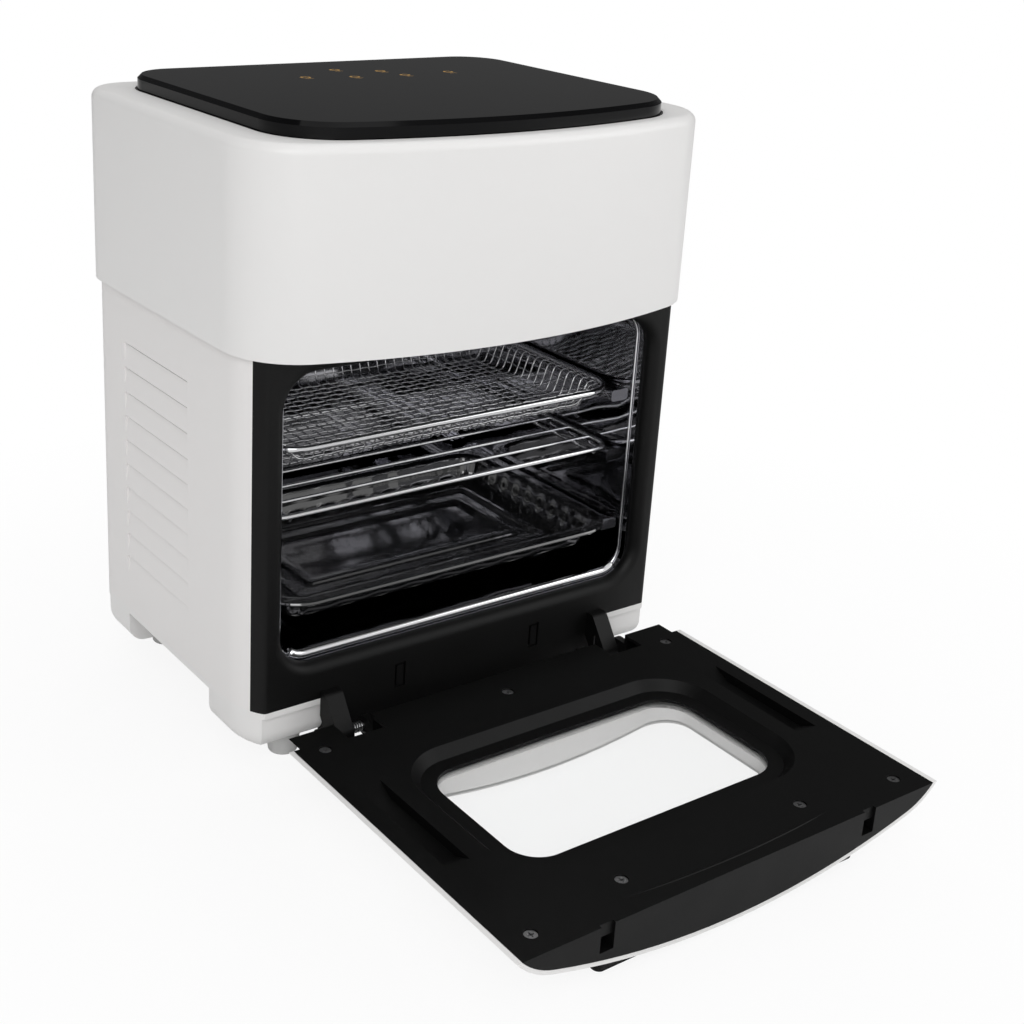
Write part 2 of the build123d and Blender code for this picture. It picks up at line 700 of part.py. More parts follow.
# Motor bracket, motor, shaft and cooling fan stacked on the pan
bracket_height = 17.0
bracket_wall = 1.5
motor_z = pan_top_z + bracket_height
motor_top_z = motor_z + motor_height
cooling_blade_z = motor_top_z + 3.0
cooling_height = 11.0
with BuildPart() as motor_bracket:
    with BuildSketch(front_plane(fan_centre_y + 20)):
        with Locations((0, pan_top_z + bracket_height / 2)):
            Rectangle(92, bracket_height)
            with Locations((0, -bracket_wall)):
                Rectangle(92 - 2 * bracket_wall, bracket_height, mode=Mode.SUBTRACT)
        with Locations((-52, pan_top_z + bracket_wall / 2), (52, pan_top_z + bracket_wall / 2)):
            Rectangle(15, bracket_wall)
    extrude(amount=40)
    with Locations((0, fan_centre_y, motor_z - bracket_wall)):
        Cylinder(shaft_radius + 3, bracket_wall, mode=Mode.SUBTRACT,
                 align=(Align.CENTER, Align.CENTER, Align.MIN))
motor_bracket.part.label = "motor_bracket"
export_step(motor_bracket.part, "parts/motor_bracket.step")

with BuildPart() as fan_motor:
    with Locations((0, fan_centre_y, motor_z)):
        Cylinder(motor_radius, motor_height, align=(Align.CENTER, Align.CENTER, Align.MIN))
        Cylinder(shaft_radius + shaft_clearance, motor_height, mode=Mode.SUBTRACT,
                 align=(Align.CENTER, Align.CENTER, Align.MIN))
    with Locations((0, fan_centre_y, motor_z + 8)):
        Box(2 * motor_radius + 8, 34, 14, align=(Align.CENTER, Align.CENTER, Align.MIN))
        Cylinder(shaft_radius + shaft_clearance, motor_height, mode=Mode.SUBTRACT,
                 align=(Align.CENTER, Align.CENTER, Align.MIN))
fan_motor.part.label = "fan_motor"
export_step(fan_motor.part, "parts/fan_motor.step")

shaft_bottom_z = hot_fan_z - hot_blade_height
shaft_top_z = cooling_blade_z + cooling_height
with BuildPart() as motor_shaft:
    with Locations((0, fan_centre_y, shaft_bottom_z)):
        Cylinder(shaft_radius, shaft_top_z - shaft_bottom_z,
                 align=(Align.CENTER, Align.CENTER, Align.MIN))
motor_shaft.part.label = "motor_shaft"
export_step(motor_shaft.part, "parts/motor_shaft.step")

with BuildPart() as cooling_fan:
    with Locations((0, fan_centre_y, cooling_blade_z)):
        Cylinder(12, cooling_height, align=(Align.CENTER, Align.CENTER, Align.MIN))
        with PolarLocations(cooling_fan_radius / 2 + 4, 9):
            Box(cooling_fan_radius - 10, 1.5, cooling_height, rotation=(30, 0, 0),
                align=(Align.CENTER, Align.CENTER, Align.MIN))
        Cylinder(shaft_radius, 3 * cooling_height, mode=Mode.SUBTRACT)
    with BuildSketch(Plane.XY.offset(cooling_blade_z)):
        with Locations((0, fan_centre_y)):
            Circle(cooling_fan_radius + 2)
    extrude(amount=cooling_height, mode=Mode.INTERSECT)
cooling_fan.part.label = "cooling_fan"
export_step(cooling_fan.part, "parts/cooling_fan.step")

# Thermal cut-out: a small disc switch on the pan
with BuildPart() as thermal_cutout:
    with Locations((30, fan_centre_y + 42, pan_top_z)):
        Cylinder(8, 9, align=(Align.CENTER, Align.CENTER, Align.MIN))
        Box(26, 8, 1.2, align=(Align.CENTER, Align.CENTER, Align.MIN))
thermal_cutout.part.label = "thermal_cutout"
export_step(thermal_cutout.part, "parts/thermal_cutout.step")

# Plan outline of the touch slab, set into the head's top
slab_half_width = head_half_width - 24.5
slab_crest_y = -21.0
slab_corner = 44.0
slab_rear_y = 209.0
slab_rear_corner = 30.0
slab_gap = 1.5


def slab_edges(inset):
    """Plan outline of the touch slab moved inwards by inset."""
    return plan_edges(inset, slab_half_width, slab_crest_y, bow_radius, slab_corner,
                      slab_rear_y, slab_rear_corner)


# Head shell: white bowed cover with a floor lip over the door and a recess for the slab
lip_wall = 2.5
recess_floor_z = rim_top_z - 6.0
rim_round = 6.0
catch_x = window_half_width + 1.0
catch_y = -12.5
tongue_width = 6.0
tongue_depth = 5.0
tongue_gap = 0.2
with BuildPart() as head_shell:
    with BuildSketch(Plane.XY.offset(head_bottom_z)):
        make_face(plan_edges(0))
    extrude(amount=rim_top_z - head_bottom_z)
    fillet(head_shell.faces().sort_by(Axis.Z)[-1].edges(), radius=rim_round)
    with BuildSketch(Plane.XY.offset(head_bottom_z + lip_wall)):
        make_face(plan_edges(head_wall))
    extrude(amount=recess_floor_z - top_wall - head_bottom_z - lip_wall, mode=Mode.SUBTRACT)
    with BuildSketch(Plane.XY.offset(head_bottom_z)):
        make_face(plan_edges(head_wall))
        with Locations((0, frame_depth + 200)):
            Rectangle(2 * head_half_width, 400, mode=Mode.INTERSECT)
    extrude(amount=lip_wall, mode=Mode.SUBTRACT)
    with BuildSketch(Plane.XY.offset(recess_floor_z - top_wall)):
        make_face(plan_edges(head_wall + rim_round))
        make_face(slab_edges(-slab_gap - top_wall), mode=Mode.SUBTRACT)
    extrude(amount=rim_top_z - top_wall - recess_floor_z + top_wall, mode=Mode.SUBTRACT)
    with BuildSketch(Plane.XY.offset(rim_top_z)):
        make_face(slab_edges(-slab_gap))
    extrude(amount=-(rim_top_z - recess_floor_z), mode=Mode.SUBTRACT)
    # Openings for the two door catches
    with BuildSketch(Plane.XY.offset(head_bottom_z)):
        with Locations((-catch_x, catch_y), (catch_x, catch_y)):
            Rectangle(tongue_width + 2 * tongue_gap, tongue_depth + 2 * tongue_gap)
    extrude(amount=lip_wall, mode=Mode.SUBTRACT)
    # Exhaust slots in the rear wall
    with BuildSketch(front_plane(head_rear_y + 1)):
        with Locations((0, 320)):
            with GridLocations(12, 1, 16, 1):
                SlotOverall(44, 5, rotation=90)
    extrude(amount=head_wall + 3, mode=Mode.SUBTRACT)
head_shell.part.label = "head_shell"
export_step(head_shell.part, "parts/head_shell.step")

# Touch slab on its carrier
carrier_inset = 5.0
carrier_top_z = recess_floor_z + 3.0
with BuildPart() as panel_carrier:
    with BuildSketch(Plane.XY.offset(recess_floor_z)):
        make_face(slab_edges(carrier_inset))
        make_face(slab_edges(carrier_inset + 8), mode=Mode.SUBTRACT)
    extrude(amount=carrier_top_z - recess_floor_z)
panel_carrier.part.label = "panel_carrier"
export_step(panel_carrier.part, "parts/panel_carrier.step")

with BuildPart() as touch_panel:
    with BuildSketch(Plane.XY.offset(carrier_top_z)):
        make_face(slab_edges(0))
    extrude(amount=slab_top_z - carrier_top_z)
    chamfer(touch_panel.faces().sort_by(Axis.Z)[-1].edges(), length=2.5)
touch_panel.part.label = "touch_panel"
export_step(touch_panel.part, "parts/touch_panel.step")

# Control board hung under the head's top on four posts
board = 1.6
post_length = 5.0
board_width = 150.0
board_depth = 60.0
board_y = 150.0
board_top_z = recess_floor_z - top_wall - post_length
with BuildPart() as control_board:
    with Locations((0, board_y, board_top_z)):
        Box(board_width, board_depth, board, align=(Align.CENTER, Align.CENTER, Align.MAX))
    with Locations((-30, board_y, board_top_z - board), (25, board_y + 10, board_top_z - board)):
        Box(14, 14, 2, align=(Align.CENTER, Align.CENTER, Align.MAX))
control_board.part.label = "control_board"
export_step(control_board.part, "parts/control_board.step")

with BuildPart() as board_posts:
    with BuildSketch(Plane.XY.offset(board_top_z)):
        with Locations((0, board_y)):
            with GridLocations(board_width - 10, board_depth - 10, 2, 2):
                Circle(3.5)
    extrude(amount=post_length)
board_posts.part.label = "board_posts"
export_step(board_posts.part, "parts/board_posts.step")

# Power board on posts inside the rear wall of the head
power_width = 70.0
power_height = 90.0
power_x = -(head_half_width - 63.5)
power_z = 315.0
power_post = 8.0
power_y = head_rear_y - head_wall - power_post
with BuildPart() as power_board:
    with BuildSketch(front_plane(power_y)):
        with Locations((power_x, power_z)):
            Rectangle(power_width, power_height)
    extrude(amount=board)
    with BuildSketch(front_plane(power_y - board)):
        with Locations((power_x - 15, power_z + 18)):
            Circle(9)
        with Locations((power_x + 14, power_z + 18)):
            Rectangle(20, 26)
        with Locations((power_x - 6, power_z - 22)):
            Rectangle(34, 24)
    extrude(amount=20)
power_board.part.label = "power_board"
export_step(power_board.part, "parts/power_board.step")

with BuildPart() as power_posts:
    with BuildSketch(front_plane(head_rear_y - head_wall)):
        with Locations((power_x, power_z)):
            with GridLocations(power_width - 12, power_height - 12, 2, 2):
                Circle(3.5)
    extrude(amount=power_post)
power_posts.part.label = "power_posts"
export_step(power_posts.part, "parts/power_posts.step")

# Door catches: sprung tongues that hang through the head's floor lip into the door's pockets
tongue_tip_z = door_shift_z - liner_top_z + pin_z + (pin_y - door_far_y) - 1.4 - seal_gap
shoulder_z = head_bottom_z + lip_wall + 0.1
shoulder = 3.4
catch_housing_wall = 1.8
housing_inner_x = tongue_width + 4.4
housing_inner_y = tongue_depth + 4.4
spring_height = 10.0
spring_top_z = shoulder_z + shoulder + spring_height
for side, hand in ((-1, "left"), (1, "right")):
    with BuildPart() as tongue:
        with Locations((side * catch_x, catch_y, tongue_tip_z)):
            Box(tongue_width, tongue_depth, shoulder_z - tongue_tip_z + shoulder,
                align=(Align.CENTER, Align.CENTER, Align.MIN))
        tip_edges = tongue.faces().sort_by(Axis.Z)[0].edges().filter_by(Axis.X)
        fillet(tip_edges, radius=1.2)
        with Locations((side * catch_x, catch_y, shoulder_z)):
            Box(tongue_width + 4, tongue_depth + 4, shoulder,
                align=(Align.CENTER, Align.CENTER, Align.MIN))
    tongue.part.label = f"catch_tongue_{hand}"
    export_step(tongue.part, f"parts/catch_tongue_{hand}.step")
    with BuildPart() as housing:
        with Locations((side * catch_x, catch_y, head_bottom_z + lip_wall)):
            Box(housing_inner_x + 2 * catch_housing_wall, housing_inner_y + 2 * catch_housing_wall,
                spring_top_z + catch_housing_wall - head_bottom_z - lip_wall,
                align=(Align.CENTER, Align.CENTER, Align.MIN))
            Box(housing_inner_x, housing_inner_y, spring_top_z - head_bottom_z - lip_wall,
                mode=Mode.SUBTRACT, align=(Align.CENTER, Align.CENTER, Align.MIN))
    housing.part.label = f"catch_housing_{hand}"
    export_step(housing.part, f"parts/catch_housing_{hand}.step")
    with BuildPart() as catch_spring:
        with Locations((side * catch_x, catch_y, shoulder_z + shoulder)):
            Cylinder(3.0, spring_height, align=(Align.CENTER, Align.CENTER, Align.MIN))
            Cylinder(2.2, spring_height, mode=Mode.SUBTRACT,
                     align=(Align.CENTER, Align.CENTER, Align.MIN))
    catch_spring.part.label = f"catch_spring_{hand}"
    export_step(catch_spring.part, f"parts/catch_spring_{hand}.step")

# Window opening and screw places of the door, seen from above as it lies open
window_mid_y = door_rear_y - (window_near + window_far) / 2
window_length = window_far - window_near
plate_bottom = liner_top_z - liner_wall
recess_floor = liner_top_z - recess_depth
pane_top_z = recess_floor - liner_wall
tunnel_top_z = pane_top_z - glass
door_screw_far = 15.0
door_screw_mid = 25.0
door_screw_near = 7.5
door_screw_x = head_half_width - 30.5
door_screw_mid_x = 66.0
screw_sink = 3.0
boss_radius = 4.5
screw_pad = 3.5
shank_length = 7.0
boss_top_z = plate_bottom - screw_pad
door_screw_places = [
    (-door_screw_x, door_far_y + door_screw_far),
    (door_screw_x, door_far_y + door_screw_far),
    (-door_screw_mid_x, door_far_y + door_screw_mid),
    (door_screw_mid_x, door_far_y + door_screw_mid),
    (-door_screw_x, door_rear_y - door_screw_near),
    (door_screw_x, door_rear_y - door_screw_near),
    (0, door_rear_y - door_screw_near),
]

# Handle: a straight bar over a cupped recess near the door's free edge
handle_half_width = window_half_width
grip_half_width = 57.0
handle_drop = 2.2
bar_far = 6.0
bar_width = 11.0
grip_far = 4.0
grip_near = 32.0
grip_gap = 0.3
grip_floor_z = 28.0
cup_wall = 2.0
bar_inner_z = 12.5
handle_screw_x = handle_half_width - 11.0
handle_screw_radius = 1.5
handle_screw_y = door_far_y + bar_far + bar_width / 2
grip_mid_y = door_far_y + (grip_far + grip_near) / 2

# Blocks that follow the door's curve: window tunnel, pane seat, pane and screw bosses
pane_sink = 0.8
pane_lap = 2.2
pane_gap = 0.2
with BuildPart() as tunnel_block:
    with BuildSketch(door_plane(door_rear_y)):
        make_face(door_edges(0))
    extrude(amount=door_length)
    with BuildSketch(Plane.XY):
        with Locations((0, window_mid_y)):
            RectangleRounded(2 * (window_half_width + tunnel_wall),
                             window_length + 2 * tunnel_wall, window_corner + tunnel_wall)
    extrude(amount=tunnel_top_z, mode=Mode.INTERSECT)
with BuildPart() as pane_seat:
    with BuildSketch(door_plane(door_rear_y)):
        make_face(door_edges(-1))
        make_face(door_edges(pane_sink + outer_glass_wall), mode=Mode.SUBTRACT)
    extrude(amount=door_length)
    with BuildSketch(Plane.XY.offset(-2)):
        with Locations((0, window_mid_y)):
            RectangleRounded(2 * (window_half_width + pane_lap), window_length + 2 * pane_lap,
                             window_corner + pane_lap)
    extrude(amount=tunnel_top_z, mode=Mode.INTERSECT)
with BuildPart() as boss_block:
    with BuildSketch(door_plane(door_rear_y)):
        make_face(door_edges(skin_wall / 2))
    extrude(amount=door_length)
    with BuildSketch(Plane.XY):
        with Locations(*door_screw_places):
            Circle(boss_radius)
    extrude(amount=boss_top_z, mode=Mode.INTERSECT)

# Door shell: the white bowed skin with its window tunnel and screw bosses
with BuildPart() as door_shell:
    with BuildSketch(door_plane(door_rear_y)):
        make_face(door_edges(0))
        make_face(door_edges(skin_wall), mode=Mode.SUBTRACT)
    extrude(amount=door_length)
    add(tunnel_block.part)
    add(boss_block.part)
    with BuildSketch(Plane.XY.offset(-2)):
        with Locations((0, window_mid_y)):
            RectangleRounded(2 * window_half_width, window_length, window_corner)
    extrude(amount=tunnel_top_z + 4, mode=Mode.SUBTRACT)
    add(pane_seat.part, mode=Mode.SUBTRACT)
    with BuildSketch(Plane.XY.offset(boss_top_z)):
        with Locations(*door_screw_places):
            Circle(screw_radius)
    extrude(amount=-(shank_length - (liner_wall + screw_pad - screw_sink)), mode=Mode.SUBTRACT)
    with BuildSketch(Plane.XY.offset(-2)):
        with Locations((0, grip_mid_y)):
            Rectangle(2 * grip_half_width, grip_near - grip_far)
        with Locations((-handle_screw_x, handle_screw_y), (handle_screw_x, handle_screw_y)):
            Circle(handle_screw_radius + 0.3)
    extrude(amount=grip_floor_z, mode=Mode.SUBTRACT)
door_shell.part.label = "door_shell"
export_step(door_shell.part, "parts/door_shell.step")

with BuildPart() as outer_glass:
    with BuildSketch(door_plane(door_rear_y)):
        make_face(door_edges(pane_sink))
        make_face(door_edges(pane_sink + outer_glass_wall), mode=Mode.SUBTRACT)
    extrude(amount=door_length)
    with BuildSketch(Plane.XY.offset(-2)):
        with Locations((0, window_mid_y)):
            RectangleRounded(2 * (window_half_width + pane_lap - pane_gap),
                             window_length + 2 * (pane_lap - pane_gap),
                             window_corner + pane_lap - pane_gap)
    extrude(amount=tunnel_top_z, mode=Mode.INTERSECT)
outer_glass.part.label = "outer_glass"
export_step(outer_glass.part, "parts/outer_glass.step")

pane_margin = 6.0
with BuildPart() as inner_glass:
    with BuildSketch(Plane.XY.offset(tunnel_top_z)):
        with Locations((0, window_mid_y)):
            RectangleRounded(2 * (window_half_width + pane_margin),
                             window_length + 2 * pane_margin, window_corner + pane_margin)
    extrude(amount=glass)
inner_glass.part.label = "inner_glass"
export_step(inner_glass.part, "parts/inner_glass.step")

# Hollow inside the door liner, less the blocks that carry the window, pockets and screws
liner_inset = skin_wall + 0.2
side_rib = 4.0
end_wall = 2.5
pocket_x = head_half_width - 33.0
pocket_width = 15.0
pocket_near = 50.0
pocket_far = 136.0
pocket_depth = 6.0
pocket_slope = 12.0
catch_block = 14.0
catch_block_depth = 10.0
catch_block_low_z = 17.0
liner_half = bow_points(liner_inset, head_half_width, bow_crest_y, bow_radius,
                        front_corner_radius)[0] - 10.5
hollow_far_y = door_far_y + end_wall
with BuildPart() as liner_hollow:
    with BuildSketch(Plane.XY.offset(-10)):
        with Locations((0, (door_rear_y + hollow_far_y) / 2)):
            Rectangle(2 * (liner_half - side_rib), door_rear_y - hollow_far_y)
    extrude(amount=plate_bottom + 10)
    with BuildSketch(Plane.XY.offset(pane_top_z)):
        with Locations((0, window_mid_y)):
            RectangleRounded(2 * (window_half_width + recess_margin + liner_wall),
                             window_length + 2 * (recess_margin + liner_wall),
                             window_corner + recess_margin)
    extrude(amount=plate_bottom - pane_top_z, mode=Mode.SUBTRACT)
    with BuildSketch(Plane.XY.offset(liner_top_z - pocket_depth - liner_wall)):
        with Locations((-pocket_x, door_rear_y - (pocket_near + pocket_far) / 2),
                       (pocket_x, door_rear_y - (pocket_near + pocket_far) / 2)):
            Rectangle(pocket_width + 2 * liner_wall, pocket_far - pocket_near + 2 * liner_wall)
    extrude(amount=pocket_depth, mode=Mode.SUBTRACT)
    with BuildSketch(Plane.XY.offset(boss_top_z)):
        with Locations(*door_screw_places):
            Circle(boss_radius + 1.5)
    extrude(amount=screw_pad, mode=Mode.SUBTRACT)
    with BuildSketch(Plane.XY.offset(catch_block_low_z)):
        with Locations((-catch_x, door_far_y + catch_block_depth / 2),
                       (catch_x, door_far_y + catch_block_depth / 2)):
            Rectangle(catch_block, catch_block_depth)
    extrude(amount=plate_bottom - catch_block_low_z, mode=Mode.SUBTRACT)

# Door liner: black inner moulding with the window recess, side pockets and hinge lugs
lug_in_x = arm_inner_x - lug_gap_inner - lug_width
lug_out_x = arm_inner_x + arm_width + lug_gap_outer
arm_slot_mid = (arm_inner_x - lug_gap_inner + lug_out_x) / 2
arm_slot_width = lug_out_x - (arm_inner_x - lug_gap_inner)
arm_top_z = 47.0
arm_slot_far_y = pin_y - (arm_top_z + 2 - pin_z)
arm_slot_low_z = 14.0
catch_pocket_z = door_shift_z + catch_y
catch_pocket = tongue_width + 3.0
with BuildPart() as door_liner:
    with BuildSketch(door_plane(door_rear_y)):
        make_face(door_edges(liner_inset))
    extrude(amount=door_length)
    add(liner_hollow.part, mode=Mode.SUBTRACT)
    with BuildSketch(door_plane(tail_rear_y)):
        make_face(door_edges(skin_wall + tail_inset))
    extrude(amount=door_tail)
    with BuildSketch(door_plane(tail_rear_y - end_wall)):
        make_face(door_edges(skin_wall + tail_inset + liner_wall, -seal_gap - liner_wall))
    extrude(amount=door_tail - end_wall, mode=Mode.SUBTRACT)
    # Sloping recess round the window, then the window itself
    with BuildSketch(Plane.XY.offset(liner_top_z)):
        with Locations((0, window_mid_y)):
            RectangleRounded(2 * (window_half_width + recess_margin),
                             window_length + 2 * recess_margin, window_corner + recess_margin)
    with BuildSketch(Plane.XY.offset(recess_floor)):
        with Locations((0, window_mid_y)):
            RectangleRounded(2 * (window_half_width + recess_margin - 6),
                             window_length + 2 * (recess_margin - 6), window_corner + 8)
    loft(mode=Mode.SUBTRACT)
    with BuildSketch(Plane.XY.offset(liner_top_z)):
        with Locations((0, window_mid_y)):
            RectangleRounded(2 * window_half_width, window_length, window_corner)
    extrude(amount=-(liner_top_z - pane_top_z), mode=Mode.SUBTRACT)
    # Side pockets with sloping ends
    for side in (-1, 1):
        with BuildSketch(side_plane(side * pocket_x - pocket_width / 2)):
            with BuildLine():
                Polyline((door_rear_y - pocket_near, liner_top_z),
                         (door_rear_y - pocket_near - pocket_slope, liner_top_z - pocket_depth),
                         (door_rear_y - pocket_far + pocket_slope, liner_top_z - pocket_depth),
                         (door_rear_y - pocket_far, liner_top_z), close=True)
            make_face()
        extrude(amount=pocket_width, mode=Mode.SUBTRACT)
    # Counterbores and holes for the liner's screws
    with BuildSketch(Plane.XY.offset(liner_top_z)):
        with Locations(*door_screw_places):
            Circle(screw_head_radius + 0.3)
    extrude(amount=-screw_sink, mode=Mode.SUBTRACT)
    with BuildSketch(Plane.XY.offset(liner_top_z)):
        with Locations(*door_screw_places):
            Circle(screw_radius)
    extrude(amount=-(liner_wall + screw_pad), mode=Mode.SUBTRACT)
    # Catch pockets in the free end, each with a shallow lead-in groove from the liner face
    for side in (-1, 1):
        with BuildSketch(front_plane(door_far_y)):
            with Locations((side * catch_x, catch_pocket_z)):
                Rectangle(catch_pocket, tongue_depth + 3)
        extrude(amount=-8, mode=Mode.SUBTRACT)
        with BuildSketch(front_plane(door_far_y)):
            with Locations((side * catch_x, (catch_pocket_z + liner_top_z) / 2 + 1)):
                Rectangle(catch_pocket, liner_top_z - catch_pocket_z + 2)
        extrude(amount=-2, mode=Mode.SUBTRACT)
    # Slots for the hinge arms and the lugs beside them
    for side in (-1, 1):
        with BuildSketch(Plane.XY.offset(arm_slot_low_z)):
            with Locations((side * arm_slot_mid, (tail_rear_y + door_rear_y) / 2 + 1)):
                Rectangle(arm_slot_width, tail_rear_y - door_rear_y + 2)
        extrude(amount=40, mode=Mode.SUBTRACT)
        with BuildSketch(Plane.XY.offset(plate_bottom - 4)):
            with Locations((side * arm_slot_mid, (tail_rear_y + arm_slot_far_y) / 2)):
                Rectangle(arm_slot_width, tail_rear_y - arm_slot_far_y)
        extrude(amount=40, mode=Mode.SUBTRACT)
        for lug_x in (lug_in_x, lug_out_x):
            start_x = lug_x if side > 0 else -lug_x - lug_width
            with BuildSketch(side_plane(start_x)):
                with Locations((pin_y, pin_z)):
                    Circle(lug_radius)
                with Locations(((pin_y + tail_rear_y) / 2 - 0.5, pin_z)):
                    Rectangle(pin_y - tail_rear_y + 1, 2 * lug_radius)
            extrude(amount=lug_width)
            with BuildSketch(side_plane(start_x)):
                with Locations((pin_y, pin_z)):
                    Circle(pin_radius + pin_clearance)
            extrude(amount=lug_width, mode=Mode.SUBTRACT)
door_liner.part.label = "door_liner"
export_step(door_liner.part, "parts/door_liner.step")

# Screws that hold the liner to the shell
with BuildPart() as door_screws:
    with BuildSketch(Plane.XY.offset(liner_top_z - screw_sink)):
        with Locations(*door_screw_places):
            Circle(screw_head_radius)
    extrude(amount=screw_head)
    with BuildSketch(Plane.XY.offset(liner_top_z - screw_sink)):
        with Locations(*door_screw_places):
            Circle(screw_radius)
    extrude(amount=-shank_length)
    with BuildSketch(Plane.XY.offset(liner_top_z - screw_sink + screw_head)):
        with Locations(*door_screw_places):
            Rectangle(4.0, 0.9)
            Rectangle(0.9, 4.0)
    extrude(amount=-1.2, mode=Mode.SUBTRACT)
door_screws.part.label = "door_screws"
export_step(door_screws.part, "parts/door_screws.step")

# Door handle: bar, its two feet on the skin and the cup behind it
with BuildPart() as handle_feet:
    with BuildSketch(Plane.XY.offset(handle_drop)):
        with Locations((0, handle_screw_y)):
            RectangleRounded(2 * handle_half_width, bar_width, 4)
    extrude(amount=20)
    with BuildSketch(door_plane(door_rear_y)):
        make_face(door_edges(-0.15))
    extrude(amount=door_length, mode=Mode.SUBTRACT)
with BuildPart() as grip_cup:
    with BuildSketch(Plane.XY):
        with Locations((0, grip_mid_y)):
            Rectangle(2 * (grip_half_width - grip_gap), grip_near - grip_far - 2 * grip_gap)
    extrude(amount=grip_floor_z)
    with BuildSketch(Plane.XY):
        with Locations((0, grip_mid_y)):
            Rectangle(2 * (grip_half_width - grip_gap - cup_wall),
                      grip_near - grip_far - 2 * (grip_gap + cup_wall))
    extrude(amount=grip_floor_z - cup_wall, mode=Mode.SUBTRACT)
    with BuildSketch(door_plane(door_rear_y)):
        make_face(door_edges(0.3))
    extrude(amount=door_length, mode=Mode.INTERSECT)
with BuildPart() as door_handle:
    add(handle_feet.part)
    add(grip_cup.part)
    with BuildSketch(Plane.XY.offset(handle_drop)):
        with Locations((0, handle_screw_y)):
            Rectangle(2 * (grip_half_width - grip_gap), bar_width)
    extrude(amount=bar_inner_z - handle_drop)
    with BuildSketch(Plane.XY.offset(handle_drop + 2.5)):
        with Locations((-handle_screw_x, handle_screw_y), (handle_screw_x, handle_screw_y)):
            Circle(handle_screw_radius)
    extrude(amount=20, mode=Mode.SUBTRACT)
door_handle.part.label = "door_handle"
export_step(door_handle.part, "parts/door_handle.step")

handle_head_radius = 3.2
handle_skin_x = handle_screw_x + handle_head_radius
handle_skin_z = door_shift_z + bow_crest_y + handle_skin_x**2 / (2 * bow_radius) + skin_wall + 0.1
with BuildPart() as handle_screws:
    with BuildSketch(Plane.XY.offset(handle_drop + 2.5)):
        with Locations((-handle_screw_x, handle_screw_y), (handle_screw_x, handle_screw_y)):
            Circle(handle_screw_radius)
    extrude(amount=handle_skin_z - handle_drop - 2.5)
    with BuildSketch(Plane.XY.offset(handle_skin_z)):
        with Locations((-handle_screw_x, handle_screw_y), (handle_screw_x, handle_screw_y)):
            Circle(handle_head_radius)
    extrude(amount=2)
handle_screws.part.label = "handle_screws"
export_step(handle_screws.part, "parts/handle_screws.step")

# Hinge arms: fixed brackets on the front of the frame that reach down to the pins
arm_head = 6.0
arm_heel_z = 30.0
arm_nose = 4.0
pin_head = 2.0
pin_head_radius = 3.4
pin_tail = 1.5
for side, hand in ((-1, "left"), (1, "right")):
    arm_start_x = arm_inner_x if side > 0 else -arm_inner_x - arm_width
    with BuildPart() as arm:
        with BuildSketch(side_plane(arm_start_x)):
            with Locations((pin_y, pin_z)):
                Circle(arm_radius)
            with BuildLine():
                Polyline((0, arm_heel_z), (0, arm_top_z), (-arm_head, arm_top_z), close=True)
            make_face()
            make_hull()
        extrude(amount=arm_width)
        nose_edge = arm.edges().filter_by(Axis.X).group_by(Axis.Z)[-1].sort_by(Axis.Y)[0]
        fillet(nose_edge, radius=arm_nose)
        with BuildSketch(side_plane(arm_start_x)):
            with Locations((pin_y, pin_z)):
                Circle(pin_radius + pin_clearance)
        extrude(amount=arm_width, mode=Mode.SUBTRACT)
    arm.part.label = f"hinge_arm_{hand}"
    export_step(arm.part, f"parts/hinge_arm_{hand}.step")
    outer_end_x = side * (lug_out_x + lug_width + 0.3)
    with BuildPart() as pin:
        with BuildSketch(side_plane(outer_end_x)):
            with Locations((pin_y, pin_z)):
                Circle(pin_radius)
        extrude(amount=-side * (lug_out_x + lug_width + 0.3 - lug_in_x + pin_tail))
        with BuildSketch(side_plane(outer_end_x)):
            with Locations((pin_y, pin_z)):
                Circle(pin_head_radius)
        extrude(amount=side * pin_head)
        fillet(pin.faces().sort_by(Axis.X)[-1 if side > 0 else 0].edges(), radius=0.8)
    pin.part.label = f"hinge_pin_{hand}"
    export_step(pin.part, f"parts/hinge_pin_{hand}.step")


def biarc(start, start_way, end, end_way):
    """Two arcs that leave start and reach end along the given directions."""
    chord = end - start
    both = start_way + end_way
    bend = 2 * (1 - start_way.dot(end_way))
    along = chord.dot(both)
    reach = (sqrt(along**2 + bend * chord.dot(chord)) - along) / bend
    middle = (start + end + (start_way - end_way) * reach) * 0.5
    TangentArc(start, middle, tangent=start_way)
    TangentArc(middle, end, tangent=end_way * -1, tangent_from_first=False)


